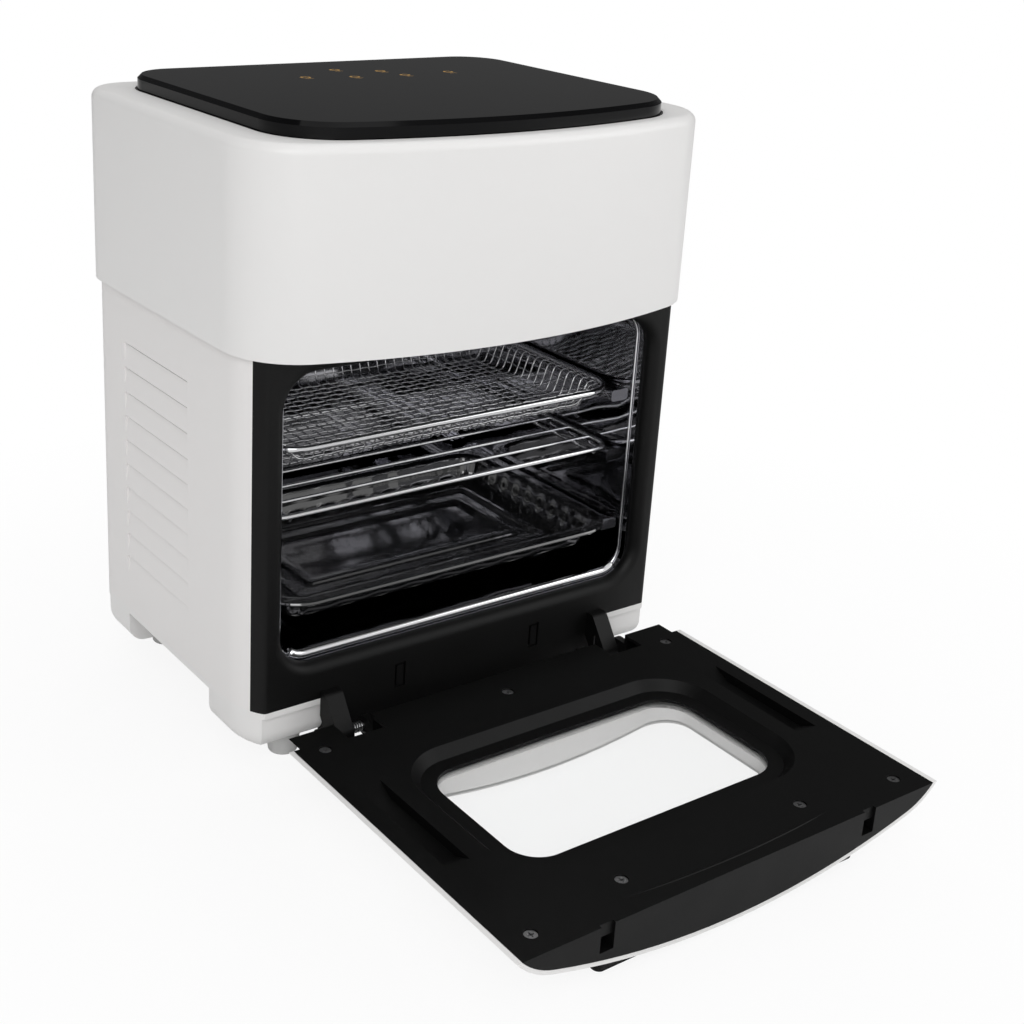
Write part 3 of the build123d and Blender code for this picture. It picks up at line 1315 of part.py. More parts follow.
# Hinge springs: coils round the pins that hold the door against its stop
spring_gap = 0.3
spring_wire = 0.55
spring_turns = 5.25
spring_leg_up = 11.0
spring_leg_out = 5.0
coil_radius = pin_radius + spring_gap + spring_wire
coil_start_x = lug_in_x + lug_width + spring_gap + spring_wire
coil_end_x = arm_inner_x - spring_gap - spring_wire
quarters = round(spring_turns * 4)
quarter_x = (coil_end_x - coil_start_x) / quarters
coil_points = []
coil_ways = []
for i in range(quarters + 1):
    angle = -pi / 2 + i * pi / 2
    coil_points.append(Vector(coil_start_x + i * quarter_x, pin_y + coil_radius * cos(angle),
                              pin_z + coil_radius * sin(angle)))
    slope = 0 if i in (0, quarters) else quarter_x
    coil_ways.append(Vector(slope, -coil_radius * sin(angle) * pi / 2,
                            coil_radius * cos(angle) * pi / 2).normalized())
with BuildPart() as hinge_spring_right:
    with BuildLine() as coil_path:
        Line(coil_points[0] - coil_ways[0] * spring_leg_out, coil_points[0])
        for i in range(quarters):
            biarc(coil_points[i], coil_ways[i], coil_points[i + 1], coil_ways[i + 1])
        Line(coil_points[-1], coil_points[-1] + coil_ways[-1] * spring_leg_up)
    with BuildSketch(Plane(origin=coil_path.wire() @ 0, z_dir=coil_path.wire() % 0)):
        Circle(spring_wire)
    sweep(path=coil_path.wire())
hinge_spring_right.part.label = "hinge_spring_right"
export_step(hinge_spring_right.part, "parts/hinge_spring_right.step")
with BuildPart() as hinge_spring_left:
    add(mirror(hinge_spring_right.part, about=Plane.YZ))
hinge_spring_left.part.label = "hinge_spring_left"
export_step(hinge_spring_left.part, "parts/hinge_spring_left.step")

coil_wire = coil_path.wire()
coil_length = coil_wire.length
samples = [(coil_wire @ (i / 600), coil_length * i / 600) for i in range(601)]
least_gap = min((a - b).length for a, near in samples for b, far in samples
                if far - near > pi * coil_radius) - 2 * spring_wire
print(f"hinge spring: volume {hinge_spring_right.part.volume:.2f}, "
      f"section times length {pi * spring_wire**2 * coil_length:.2f}, "
      f"least gap to itself {least_gap:.2f} mm")

# Mesh tray: a wire rim on the top rails and a basket of mesh below it
tray_half_width = cavity_half_width - tray_side_gap
rim_radius = 2.0
mesh_rim_z = rail_tops[2] + slide_gap + rim_radius
mesh_rest_z = mesh_rim_z - mesh_depth - 2
tray_length = tray_rear_y - tray_front_y
tray_mid_y = (tray_front_y + tray_rear_y) / 2
basket_flange = 6.0
basket_taper = 6.0
mesh_edge = 6.0
floor_net_gap = 0.1
mesh_bar = 2.0
mesh_columns = 18
mesh_rows = 12
with BuildPart() as mesh_rim:
    with BuildSketch(Plane.XY.offset(mesh_rim_z)):
        with Locations((0, tray_mid_y)):
            RectangleRounded(2 * tray_half_width, tray_length, tray_corner)
            RectangleRounded(2 * (tray_half_width - 2 * rim_radius), tray_length - 4 * rim_radius,
                             tray_corner - 2 * rim_radius, mode=Mode.SUBTRACT)
    extrude(amount=rim_radius, both=True)
    fillet(mesh_rim.faces().filter_by(Axis.Z).edges(), radius=rim_radius * 0.96)
mesh_rim.part.label = "mesh_rim"
export_step(mesh_rim.part, "parts/mesh_rim.step")

basket_half = tray_half_width - 2 * rim_radius - basket_flange
basket_long = tray_length - 4 * rim_radius - 2 * basket_flange
basket_corner = tray_corner - 2 * rim_radius - basket_flange
floor_half = basket_half - basket_taper - tray_sheet - floor_net_gap
floor_long = basket_long - 2 * (basket_taper + tray_sheet + floor_net_gap)
floor_corner = basket_corner - basket_taper - tray_sheet - floor_net_gap
mesh_pitch_x = 2 * (floor_half - mesh_edge) / mesh_columns
mesh_pitch_y = (floor_long - 2 * mesh_edge) / mesh_rows
wall_mid_z = (mesh_rim_z + mesh_rest_z) / 2
wall_hole = mesh_depth - 6

# The band of the basket's wall: a flange that rests in the rim and a tapered wall with slots
with BuildPart() as basket_wall:
    with BuildSketch(Plane.XY.offset(mesh_rim_z)):
        with Locations((0, tray_mid_y)):
            RectangleRounded(2 * (tray_half_width - 2 * rim_radius), tray_length - 4 * rim_radius,
                             tray_corner - 2 * rim_radius)
    extrude(amount=tray_sheet / 2, both=True)
    with BuildSketch(Plane.XY.offset(mesh_rim_z)):
        with Locations((0, tray_mid_y)):
            RectangleRounded(2 * basket_half, basket_long, basket_corner)
    with BuildSketch(Plane.XY.offset(mesh_rest_z)):
        with Locations((0, tray_mid_y)):
            RectangleRounded(2 * (basket_half - basket_taper), basket_long - 2 * basket_taper,
                             basket_corner - basket_taper)
    loft()
    with BuildSketch(Plane.XY.offset(mesh_rim_z + tray_sheet)):
        with Locations((0, tray_mid_y)):
            RectangleRounded(2 * (basket_half - tray_sheet), basket_long - 2 * tray_sheet,
                             basket_corner - tray_sheet)
    with BuildSketch(Plane.XY.offset(mesh_rest_z)):
        with Locations((0, tray_mid_y)):
            RectangleRounded(2 * (basket_half - basket_taper - tray_sheet),
                             basket_long - 2 * (basket_taper + tray_sheet),
                             basket_corner - basket_taper - tray_sheet)
    loft(mode=Mode.SUBTRACT)
    with BuildSketch(front_plane(tray_front_y)):
        with Locations((0, wall_mid_z)):
            with GridLocations(mesh_pitch_x, 1, mesh_columns - 2, 1):
                Rectangle(mesh_pitch_x - mesh_bar, wall_hole)
    extrude(amount=-tray_length, mode=Mode.SUBTRACT)
    with BuildSketch(side_plane(-tray_half_width)):
        with Locations((tray_mid_y, wall_mid_z)):
            with GridLocations(mesh_pitch_y, 1, mesh_rows - 2, 1):
                Rectangle(mesh_pitch_y - mesh_bar, wall_hole)
    extrude(amount=2 * tray_half_width, mode=Mode.SUBTRACT)

# The net of the basket's floor, set into the foot of the wall band
with BuildPart() as floor_net:
    with BuildSketch(Plane.XY.offset(mesh_rest_z)):
        with Locations((0, tray_mid_y)):
            RectangleRounded(2 * floor_half, floor_long, floor_corner)
            with GridLocations(mesh_pitch_x, mesh_pitch_y, mesh_columns, mesh_rows):
                Rectangle(mesh_pitch_x - mesh_bar, mesh_pitch_y - mesh_bar, mode=Mode.SUBTRACT)
    extrude(amount=tray_sheet)
mesh_basket = Compound([basket_wall.part.solid(), floor_net.part.solid()])
mesh_basket.label = "mesh_basket"
export_step(mesh_basket, "parts/mesh_basket.step")

# Wire rack: a rod frame with thinner rods welded across it
rack_z = rail_tops[1] + slide_gap + rod_radius
rack_front_y = 26.0
rack_rear_y = 178.0
rack_corner = 14.0
rack_rods = 6
rack_tie_inset = 14.0
rack_half = cavity_half_width - tray_side_gap - rod_radius
rack_mid_y = (rack_front_y + rack_rear_y) / 2
rack_length = rack_rear_y - rack_front_y
with BuildPart() as wire_rack:
    with BuildSketch(Plane.XY.offset(rack_z)):
        with Locations((0, rack_mid_y)):
            RectangleRounded(2 * (rack_half + rod_radius), rack_length, rack_corner)
            RectangleRounded(2 * (rack_half - rod_radius), rack_length - 4 * rod_radius,
                             rack_corner - 2 * rod_radius, mode=Mode.SUBTRACT)
    extrude(amount=rod_radius, both=True)
    fillet(wire_rack.faces().filter_by(Axis.Z).edges(), radius=rod_radius * 0.96)
    with BuildSketch(side_plane(-rack_half)):
        with Locations((rack_mid_y, rack_z)):
            with GridLocations((rack_length - 2 * rod_radius) / (rack_rods + 1), 1, rack_rods, 1):
                Circle(thin_rod_radius)
    extrude(amount=2 * rack_half)
    with BuildSketch(front_plane(rack_front_y + rod_radius)):
        with Locations((0, rack_z - 1.7 * thin_rod_radius)):
            with GridLocations(2 * (rack_half - rack_tie_inset), 1, 2, 1):
                Circle(thin_rod_radius)
    extrude(amount=-(rack_length - 2 * rod_radius))
wire_rack.part.label = "wire_rack"
export_step(wire_rack.part, "parts/wire_rack.step")

# Drip tray: a pan with a flat rim, sloping walls and stepped ridges in its floor
drip_rim_z = rail_tops[0] + slide_gap
drip_floor_z = drip_rim_z - drip_depth
drip_mid_y = (drip_front_y + tray_rear_y) / 2
drip_length = tray_rear_y - drip_front_y
drip_taper = 7.0
ridge_rise = 2.0
ridge_width = 5.0
ridge_sizes = [(150.0, 84.0), (112.0, 52.0)]
with BuildPart() as drip_tray:
    with BuildSketch(Plane.XY.offset(drip_rim_z)):
        with Locations((0, drip_mid_y)):
            RectangleRounded(2 * tray_half_width, drip_length, tray_corner)
    extrude(amount=tray_sheet)
    pan_half = tray_half_width - tray_rim
    pan_long = drip_length - 2 * tray_rim
    pan_corner = tray_corner - tray_rim + 1
    with BuildSketch(Plane.XY.offset(drip_rim_z)):
        with Locations((0, drip_mid_y)):
            RectangleRounded(2 * pan_half, pan_long, pan_corner)
    with BuildSketch(Plane.XY.offset(drip_floor_z)):
        with Locations((0, drip_mid_y)):
            RectangleRounded(2 * (pan_half - drip_taper), pan_long - 2 * drip_taper,
                             pan_corner - 4)
    loft()
    with BuildSketch(Plane.XY.offset(drip_rim_z + tray_sheet)):
        with Locations((0, drip_mid_y)):
            RectangleRounded(2 * (pan_half - tray_sheet), pan_long - 2 * tray_sheet,
                             pan_corner - tray_sheet)
    with BuildSketch(Plane.XY.offset(drip_floor_z + tray_sheet)):
        with Locations((0, drip_mid_y)):
            RectangleRounded(2 * (pan_half - drip_taper - tray_sheet),
                             pan_long - 2 * (drip_taper + tray_sheet), pan_corner - 4 - tray_sheet)
    loft(mode=Mode.SUBTRACT)
    for ridge_x, ridge_y in ridge_sizes:
        with BuildSketch(Plane.XY.offset(drip_floor_z + tray_sheet)):
            with Locations((0, drip_mid_y)):
                RectangleRounded(ridge_x, ridge_y, ridge_width * 2)
                RectangleRounded(ridge_x - 2 * ridge_width, ridge_y - 2 * ridge_width, ridge_width,
                                 mode=Mode.SUBTRACT)
        extrude(amount=ridge_rise)
drip_tray.part.label = "drip_tray"
export_step(drip_tray.part, "parts/drip_tray.step")
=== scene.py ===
# %% [markdown]
# # An air fryer oven, dressed
# The oven's solid parts come from its CAD model, already at their real size and place. This lesson
# gives each of them the finish it has on a shop shelf: moulded white plastic, powder coat, spark
# grained black plastic, a glossy touch slab, polished and chromed steel, enamel and glass. Fine things
# that only the eye needs, such as woven wire and the lit marks on the slab, are modelled here.

# %% Load the frame
import json
import math

import bpy
import numpy as np
from mathutils import Matrix, Vector


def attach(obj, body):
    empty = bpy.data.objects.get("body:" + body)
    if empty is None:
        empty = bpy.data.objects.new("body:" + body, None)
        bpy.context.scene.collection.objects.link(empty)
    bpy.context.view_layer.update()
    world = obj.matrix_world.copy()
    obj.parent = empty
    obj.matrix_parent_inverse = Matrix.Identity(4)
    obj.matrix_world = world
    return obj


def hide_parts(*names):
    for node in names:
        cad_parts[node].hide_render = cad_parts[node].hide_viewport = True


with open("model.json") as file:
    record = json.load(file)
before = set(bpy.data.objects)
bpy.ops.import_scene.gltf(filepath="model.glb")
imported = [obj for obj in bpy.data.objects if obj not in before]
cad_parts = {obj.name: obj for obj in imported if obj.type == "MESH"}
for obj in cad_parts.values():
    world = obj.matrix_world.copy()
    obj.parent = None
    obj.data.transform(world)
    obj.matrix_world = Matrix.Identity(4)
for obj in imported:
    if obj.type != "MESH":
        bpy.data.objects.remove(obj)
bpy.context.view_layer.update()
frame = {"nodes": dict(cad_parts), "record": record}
nodes = frame["nodes"]

# %% [markdown]
# Everything below is written in millimetres, because a maker reads millimetres, and one factor turns
# them into Blender's metres.

# %% Millimetres
MM = 0.001
scene = bpy.context.scene
collection = scene.collection


# %% [markdown]
# ## A small kit for materials
# A finish is a node tree. One function adds a node with its settings and links, so each material below
# reads as a short list. Colours are written as the sRGB hex codes that a colour picker shows, and one
# function turns them into the linear light that the renderer adds up.

# %% Colour and node helpers
def linear(hex_code):
    """Each channel c is c / 12.92 below 0.04045, and ((c + 0.055) / 1.055) ** 2.4 above it."""
    channels = [int(hex_code[i:i + 2], 16) / 255 for i in (0, 2, 4)]
    return [c / 12.92 if c < 0.04045 else ((c + 0.055) / 1.055) ** 2.4 for c in channels] + [1.0]


def add(tree, kind, settings=None, **inputs):
    """Add a node, set its properties, then set each named input or link it to a socket."""
    node = tree.nodes.new(kind)
    for name, value in (settings or {}).items():
        setattr(node, name, value)
    for name, value in inputs.items():
        socket = node.inputs[int(name[1:])] if name[1:].isdigit() else node.inputs[name.replace("_", " ")]
        if isinstance(value, bpy.types.NodeSocket):
            tree.links.new(value, socket)
        else:
            socket.default_value = value
    return node


# %% [markdown]
# Most finishes share one recipe: a colour, a fine grain that lifts the surface by a few hundredths of a
# millimetre, and a broad cloud that makes the sheen wander. Sizes are real ones, in millimetres, and a
# stretch below 1 draws the grain out into lines along that axis.

# %% The shared recipe
def grained(name, colour, roughness, grain_mm, depth_mm, spread=0.06, stretch=(1, 1, 1), metallic=0.0,
            ior=1.5, cloud_mm=50.0, detail=2.0):
    """Bump = noise(p / grain) * depth, and roughness = roughness +- spread * noise(p / cloud)."""
    material = bpy.data.materials.new(name)
    material.use_nodes = True
    material.diffuse_color = linear(colour)
    tree = material.node_tree
    shader = tree.nodes["Principled BSDF"]
    shader.inputs["Base Color"].default_value = linear(colour)
    shader.inputs["Metallic"].default_value = metallic
    shader.inputs["IOR"].default_value = ior
    place = add(tree, "ShaderNodeTexCoord")
    mapping = add(tree, "ShaderNodeMapping", Vector=place.outputs["Object"],
                  Scale=[k / MM for k in stretch])
    grain = add(tree, "ShaderNodeTexNoise", Vector=mapping.outputs["Vector"], Scale=1 / grain_mm,
                Detail=detail)
    bump = add(tree, "ShaderNodeBump", Height=grain.outputs["Fac"], Distance=depth_mm * MM, Strength=0.7)
    tree.links.new(bump.outputs["Normal"], shader.inputs["Normal"])
    cloud = add(tree, "ShaderNodeTexNoise", Vector=mapping.outputs["Vector"], Scale=1 / cloud_mm,
                Detail=3.0)
    sheen = add(tree, "ShaderNodeMapRange", Value=cloud.outputs["Fac"], To_Min=roughness - spread,
                To_Max=roughness + spread)
    tree.links.new(sheen.outputs["Result"], shader.inputs["Roughness"])
    return material


# %% [markdown]
# ## White moulded ABS and powder coat
# The head, the base and the door's skin are injection moulded ABS: a warm-neutral white with a soft
# sheen and a very shallow orange peel, about 3 mm from crest to crest. The side and rear panels are
# steel with a baked white powder coat, a shade cooler, with a finer grain of 0.8 mm and less gloss.

# %% The two whites
white_abs = grained("moulded_white_abs", "E9E8E7", 0.40, 3.0, 0.015, spread=0.05, ior=1.53)
powder_coat = grained("powder_coated_steel", "EAE8E7", 0.47, 0.8, 0.02, spread=0.05, cloud_mm=45)

# %% [markdown]
# ## Black plastic with a spark grain
# The frame, the door's inner moulding and the hinge arms come from a spark eroded mould, which leaves a
# fine pebbled grain that keeps black plastic from looking wet. A cell pattern of 0.7 mm is added over
# the noise. It is drawn a little coarser than life so that it shows at this size.

# %% Spark grained black nylon
spark_black = grained("spark_grained_black_nylon", "060606", 0.5, 0.4, 0.02, spread=0.07, ior=1.4,
                      cloud_mm=35, detail=3.0)
tree = spark_black.node_tree
noise_bump = next(node for node in tree.nodes if node.type == "BUMP")
mapping = next(node for node in tree.nodes if node.type == "MAPPING")
pebbles = add(tree, "ShaderNodeTexVoronoi", {"feature": "SMOOTH_F1"}, Vector=mapping.outputs["Vector"],
              Scale=1 / 0.7)
pebble_bump = add(tree, "ShaderNodeBump", Height=pebbles.outputs["Distance"], Distance=0.05 * MM,
                  Strength=0.6, Normal=noise_bump.outputs["Normal"])
tree.links.new(pebble_bump.outputs["Normal"], tree.nodes["Principled BSDF"].inputs["Normal"])
tree.nodes["Principled BSDF"].inputs["Specular IOR Level"].default_value = 0.3

# %% [markdown]
# ## The touch slab
# A slab of black acrylic, polished like glass. Six marks are printed on its underside near the back: a
# ring for each key and a dash below it. Their shape is plain geometry: the distance to the nearest
# centre gives the rings, and the same distance in a space squeezed along Y gives the dashes.

# %% Polished black acrylic with printed marks
SLAB_BLACK, MARK_GOLD = "070708", "C79A4E"
black_acrylic = grained("polished_black_acrylic", SLAB_BLACK, 0.10, 6.0, 0.002, spread=0.03, ior=1.42)
tree = black_acrylic.node_tree
shader = tree.nodes["Principled BSDF"]
shader.inputs["Specular IOR Level"].default_value = 0.22
mapping = next(node for node in tree.nodes if node.type == "MAPPING")
MARK_CENTRES_MM = [(-43, 146), (-7, 170), (-11, 139), (20, 157), (26, 137), (63, 141)]
RING_MM, STROKE_MM, DASH_DROP_MM = 2.8, 0.7, 5.6
DASH_HALF_MM, DASH_SQUEEZE = 3.2, 7
flat = add(tree, "ShaderNodeVectorMath", {"operation": "MULTIPLY"}, _0=mapping.outputs["Vector"],
           _1=(1, 1, 0))
squeezed = add(tree, "ShaderNodeVectorMath", {"operation": "MULTIPLY"}, _0=flat.outputs["Vector"],
               _1=(1, DASH_SQUEEZE, 0))
nearest_ring = 1000.0
nearest_dash = 1000.0
for mark_x, mark_y in MARK_CENTRES_MM:
    away = add(tree, "ShaderNodeVectorMath", {"operation": "DISTANCE"}, _0=flat.outputs["Vector"],
               _1=(mark_x, mark_y, 0))
    closer = add(tree, "ShaderNodeMath", {"operation": "MINIMUM"}, _0=nearest_ring,
                 _1=away.outputs["Value"])
    nearest_ring = closer.outputs["Value"]
    below = add(tree, "ShaderNodeVectorMath", {"operation": "DISTANCE"}, _0=squeezed.outputs["Vector"],
                _1=(mark_x, (mark_y - DASH_DROP_MM) * DASH_SQUEEZE, 0))
    lower = add(tree, "ShaderNodeMath", {"operation": "MINIMUM"}, _0=nearest_dash,
                _1=below.outputs["Value"])
    nearest_dash = lower.outputs["Value"]
ring = add(tree, "ShaderNodeMath", {"operation": "COMPARE"}, _0=nearest_ring, _1=RING_MM, _2=STROKE_MM)
dash = add(tree, "ShaderNodeMath", {"operation": "LESS_THAN"}, _0=nearest_dash, _1=DASH_HALF_MM)
mark = add(tree, "ShaderNodeMath", {"operation": "MAXIMUM"}, _0=ring.outputs["Value"],
           _1=dash.outputs["Value"])
print_colour = add(tree, "ShaderNodeMix", {"data_type": "RGBA"}, _0=mark.outputs["Value"],
                   _6=linear(SLAB_BLACK), _7=linear(MARK_GOLD))
tree.links.new(print_colour.outputs[2], shader.inputs["Base Color"])

# %% [markdown]
# ## Metals
# Stainless sheet is rolled, so its faint lines run one way: a noise drawn out many times along one
# axis. Chromed wire is smooth and bright. Aluminium is softer and greyer. The cavity is a dark polished
# steel whose sheet is never quite flat: dents 45 mm across bend what it mirrors.

# %% Rolled, chromed and dark polished metals
cavity_steel = grained("polished_cavity_steel", "A4A4A8", 0.06, 1.5, 0.003, spread=0.04,
                       stretch=(1, 0.04, 1), metallic=1.0)
tree = cavity_steel.node_tree
line_bump = next(node for node in tree.nodes if node.type == "BUMP")
place = next(node for node in tree.nodes if node.type == "TEX_COORD")
even = add(tree, "ShaderNodeMapping", Vector=place.outputs["Object"], Scale=(1 / MM, 1 / MM, 1 / MM))
dents = add(tree, "ShaderNodeTexNoise", Vector=even.outputs["Vector"], Scale=1 / 45, Detail=1.0)
dent_bump = add(tree, "ShaderNodeBump", Height=dents.outputs["Fac"], Distance=1.5 * MM, Strength=0.5,
                Normal=line_bump.outputs["Normal"])
tree.links.new(dent_bump.outputs["Normal"], tree.nodes["Principled BSDF"].inputs["Normal"])

zinc_steel = grained("zinc_plated_steel", "A9A9AA", 0.32, 0.8, 0.008, stretch=(0.03, 1, 1), metallic=1.0)
chromed_wire = grained("chromed_wire", "D2D2D4", 0.12, 2.0, 0.004, spread=0.04, metallic=1.0)
rolled_aluminium = grained("rolled_aluminium", "C2C3C5", 0.36, 0.9, 0.008, stretch=(0.03, 1, 1),
                           metallic=1.0)
motor_steel = grained("blackened_motor_steel", "5E6064", 0.42, 1.2, 0.008, stretch=(1, 1, 0.03),
                      metallic=1.0)

# %% [markdown]
# ## Enamel, glass, rubber and small parts
# The drip tray is enamelled: a glassy black layer over pressed steel. The panes are clear float glass.
# A pane that bends light would leave a dark patch on the floor, because the renderer doesn't focus
# light through it, so the glass lets most light pass by its alpha and keeps a faint reflection.

# %% Enamel, glass and the rest
black_enamel = grained("black_enamel", "0E0E0F", 0.08, 9.0, 0.006, spread=0.02, ior=1.75)
black_enamel.node_tree.nodes["Principled BSDF"].inputs["Coat Weight"].default_value = 1.0
black_enamel.node_tree.nodes["Principled BSDF"].inputs["Coat Roughness"].default_value = 0.05
float_glass = grained("float_glass", "F2F6F5", 0.03, 30.0, 0.001, spread=0.015, ior=1.5)
float_glass.node_tree.nodes["Principled BSDF"].inputs["Alpha"].default_value = 0.04
grey_polypropylene = grained("light_grey_polypropylene", "C6C6C5", 0.5, 1.5, 0.02)
cord_rubber = grained("cord_rubber", "1C1C1C", 0.62, 1.0, 0.03, ior=1.52)
board_lacquer = grained("green_board_lacquer", "1B5A36", 0.4, 2.0, 0.02)
steatite = grained("steatite_ceramic", "D9D3C6", 0.55, 1.2, 0.02, ior=1.6)

finishes = {
    "white_plastic": white_abs,
    "white_painted_steel": powder_coat,
    "light_grey_plastic": grey_polypropylene,
    "black_plastic": spark_black,
    "black_gloss": black_acrylic,
    "clear_glass": float_glass,
    "dark_steel": cavity_steel,
    "steel": zinc_steel,
    "chrome_wire": chromed_wire,
    "dark_enamel": black_enamel,
    "aluminium_sheet": rolled_aluminium,
    "motor_steel": motor_steel,
    "rubber": cord_rubber,
    "board": board_lacquer,
    "ceramic": steatite,
}
print("finishes:", len(finishes))

# %% [markdown]
# Each CAD node names a slot in the record, so one loop hands out all the finishes. The material goes on
# the object, not on its mesh, because the mesh belongs to the CAD model.

# %% Hand out the finishes
slot_of = {entry["node"]: entry["material_slot"] for entry in frame["record"]["subparts"]}


def paint(obj, material):
    """Put a material on the object's own slot, whatever its mesh carries."""
    if not obj.material_slots:
        obj.data.materials.append(material)
    for place in obj.material_slots:
        place.link = "OBJECT"
        place.material = material


for node_name, node in nodes.items():
    paint(node, finishes[slot_of[node_name]])

# %% [markdown]
# ## Smooth curves on faceted solids
# A CAD solid arrives as loose flat triangles, so a bowed front would show facets. Merging the copies of
# each corner and smoothing only across shallow angles keeps the bow round and the edges crisp.

# %% Smooth shading by angle
SMOOTH_ANGLE = math.radians(28)


def smooth_by_angle(obj):
    """Merge coincident corners, then smooth edges flatter than the angle, as modifiers."""
    weld = obj.modifiers.new("merge_corners", "WELD")
    weld.merge_threshold = 0.002 * MM
    tree = bpy.data.node_groups.get("smooth_shallow_edges")
    if tree is None:
        tree = bpy.data.node_groups.new("smooth_shallow_edges", "GeometryNodeTree")
        tree.interface.new_socket("Geometry", in_out="INPUT", socket_type="NodeSocketGeometry")
        tree.interface.new_socket("Geometry", in_out="OUTPUT", socket_type="NodeSocketGeometry")
        entry = add(tree, "NodeGroupInput")
        angle = add(tree, "GeometryNodeInputMeshEdgeAngle")
        steep = add(tree, "FunctionNodeCompare", {"operation": "LESS_EQUAL"},
                    A=angle.outputs["Unsigned Angle"], B=SMOOTH_ANGLE)
        faces = add(tree, "GeometryNodeSetShadeSmooth", {"domain": "FACE"},
                    Geometry=entry.outputs["Geometry"], Shade_Smooth=True)
        edges = add(tree, "GeometryNodeSetShadeSmooth", {"domain": "EDGE"},
                    Geometry=faces.outputs["Geometry"], Shade_Smooth=steep.outputs["Result"])
        leave = add(tree, "NodeGroupOutput")
        tree.links.new(edges.outputs["Geometry"], leave.inputs["Geometry"])
    modifier = obj.modifiers.new("smooth_shallow_edges", "NODES")
    modifier.node_group = tree


for node in nodes.values():
    smooth_by_angle(node)

# %% [markdown]
# ## Fine pieces
# Woven wire, the liner's rolled edge and the pressed tray are drawn as grids of points. A tube is a
# circle carried along a path: at each point the path's direction and the upright give two more
# directions across it, and the circle is drawn with those. All points come from numpy arrays at once.

# %% Grids and tubes
def grid_faces(rows, columns, first=0, wrap=False):
    """Quads (i, j), (i, j+1), (i+1, j+1), (i+1, j) of a grid whose columns close on themselves; with
    wrap the last row joins the first."""
    index = np.arange(rows * columns).reshape(rows, columns) + first
    if wrap:
        index = np.vstack([index, index[:1]])
    after = np.roll(index, -1, axis=1)
    return np.stack([index[:-1], after[:-1], after[1:], index[1:]], axis=-1).reshape(-1, 4)


def tubes(paths, radius, sides=6, closed=False):
    """Tubes along paths of shape (count, points, 3): point + radius * (cos a * across + sin a * lift)."""
    if closed:
        ahead = np.roll(paths, -1, axis=1) - np.roll(paths, 1, axis=1)
    else:
        ahead = np.gradient(paths, axis=1)
    ahead /= np.linalg.norm(ahead, axis=2, keepdims=True)
    upright = np.array([0.0, 0.02, 1.0]) if np.abs(ahead[..., 2]).max() < 0.999 else np.array([0, 1.0, 0])
    across = np.cross(ahead, upright)
    across /= np.linalg.norm(across, axis=2, keepdims=True)
    lift = np.cross(across, ahead)
    turn = np.linspace(0, 2 * np.pi, sides, endpoint=False)[None, None, :, None]
    rings = paths[:, :, None] + radius * (np.cos(turn) * across[:, :, None] + np.sin(turn) * lift[:, :, None])
    count, points = paths.shape[:2]
    faces = np.concatenate([grid_faces(points, sides, k * points * sides, wrap=closed)
                            for k in range(count)])
    ends = []
    if not closed:
        starts = np.arange(count)[:, None] * points * sides + np.arange(sides)
        ends = starts[:, ::-1].tolist() + (starts + (points - 1) * sides).tolist()
    return rings.reshape(-1, 3), faces.tolist() + ends


def piece(name, vertices, faces, material, body):
    """A smooth-shaded mesh object in the shared frame, from millimetres, that rides on a body."""
    mesh = bpy.data.meshes.new(name)
    mesh.from_pydata((np.asarray(vertices) * MM).tolist(), [], faces)
    mesh.validate()
    mesh.shade_smooth()
    mesh.materials.append(material)
    obj = bpy.data.objects.new(name, mesh)
    collection.objects.link(obj)
    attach(obj, body)
    print(name, "faces:", len(mesh.polygons))
    return obj


# %% [markdown]
# The mesh basket is woven from wires of 1.1 mm, 7.2 mm apart. Its form is a height map: level on the
# flange, then a quick fall to the floor over the width of the sloping wall. Each wire rises and dips a
# little where it crosses the others, and neighbours do so in turn.

# %% Woven mesh basket
MESH_RIM_Z, MESH_DROP = 195.2, 16.0
EDGE_GAP, WEFT_POINTS, WARP_POINTS = 3.0, 172, 104
FLANGE_HALF_X, FLANGE_HALF_Y, FLANGE_CORNER, BASKET_MID_Y = 129.5, 76.0, 24.0, 102.0
BASKET_FLANGE, WALL_RUN = 6.0, 8.0
WIRE, WEAVE_PITCH, WEAVE_SHARE = 0.55, 7.2, 0.45


def half_span(across, half_along, half_across, corner):
    """Half the length of a line through a rounded rectangle at a distance across from its middle:
    half_along - corner + sqrt(corner ** 2 - (|across| - (half_across - corner)) ** 2)."""
    over = np.clip(np.abs(across) - (half_across - corner), 0, corner)
    return half_along - corner + np.sqrt(corner ** 2 - over ** 2)


def basket_height(x, y):
    """MESH_RIM_Z - MESH_DROP * s, where s goes smoothly from 0 to 1 across the wall: with t the share of
    the wall passed, s = t * t * (3 - 2 * t)."""
    core_x, core_y = FLANGE_HALF_X - FLANGE_CORNER, FLANGE_HALF_Y - FLANGE_CORNER
    out_x, out_y = np.abs(x) - core_x, np.abs(y) - core_y
    outside = np.hypot(np.maximum(out_x, 0), np.maximum(out_y, 0)) + np.minimum(np.maximum(out_x, out_y), 0)
    depth_in = FLANGE_CORNER - outside
    t = np.clip((depth_in - BASKET_FLANGE) / WALL_RUN, 0, 1)
    return MESH_RIM_Z - MESH_DROP * t * t * (3 - 2 * t)


def wires(half_along, half_across, points):
    """Lines (along, across) at every pitch, from edge to edge, and the weave of each: WEAVE_SHARE * WIRE
    * cos(pi * along / pitch), turned over for every second wire."""
    count = int(2 * (half_across - EDGE_GAP) / WEAVE_PITCH) + 1
    across = (np.arange(count) - (count - 1) / 2) * WEAVE_PITCH
    share = np.linspace(-1, 1, points)
    along = share[None] * half_span(across, half_along, half_across, FLANGE_CORNER)[:, None]
    weave = WEAVE_SHARE * WIRE * np.cos(np.pi * along / WEAVE_PITCH + np.pi * np.arange(count)[:, None])
    return along, np.broadcast_to(across[:, None], along.shape), weave


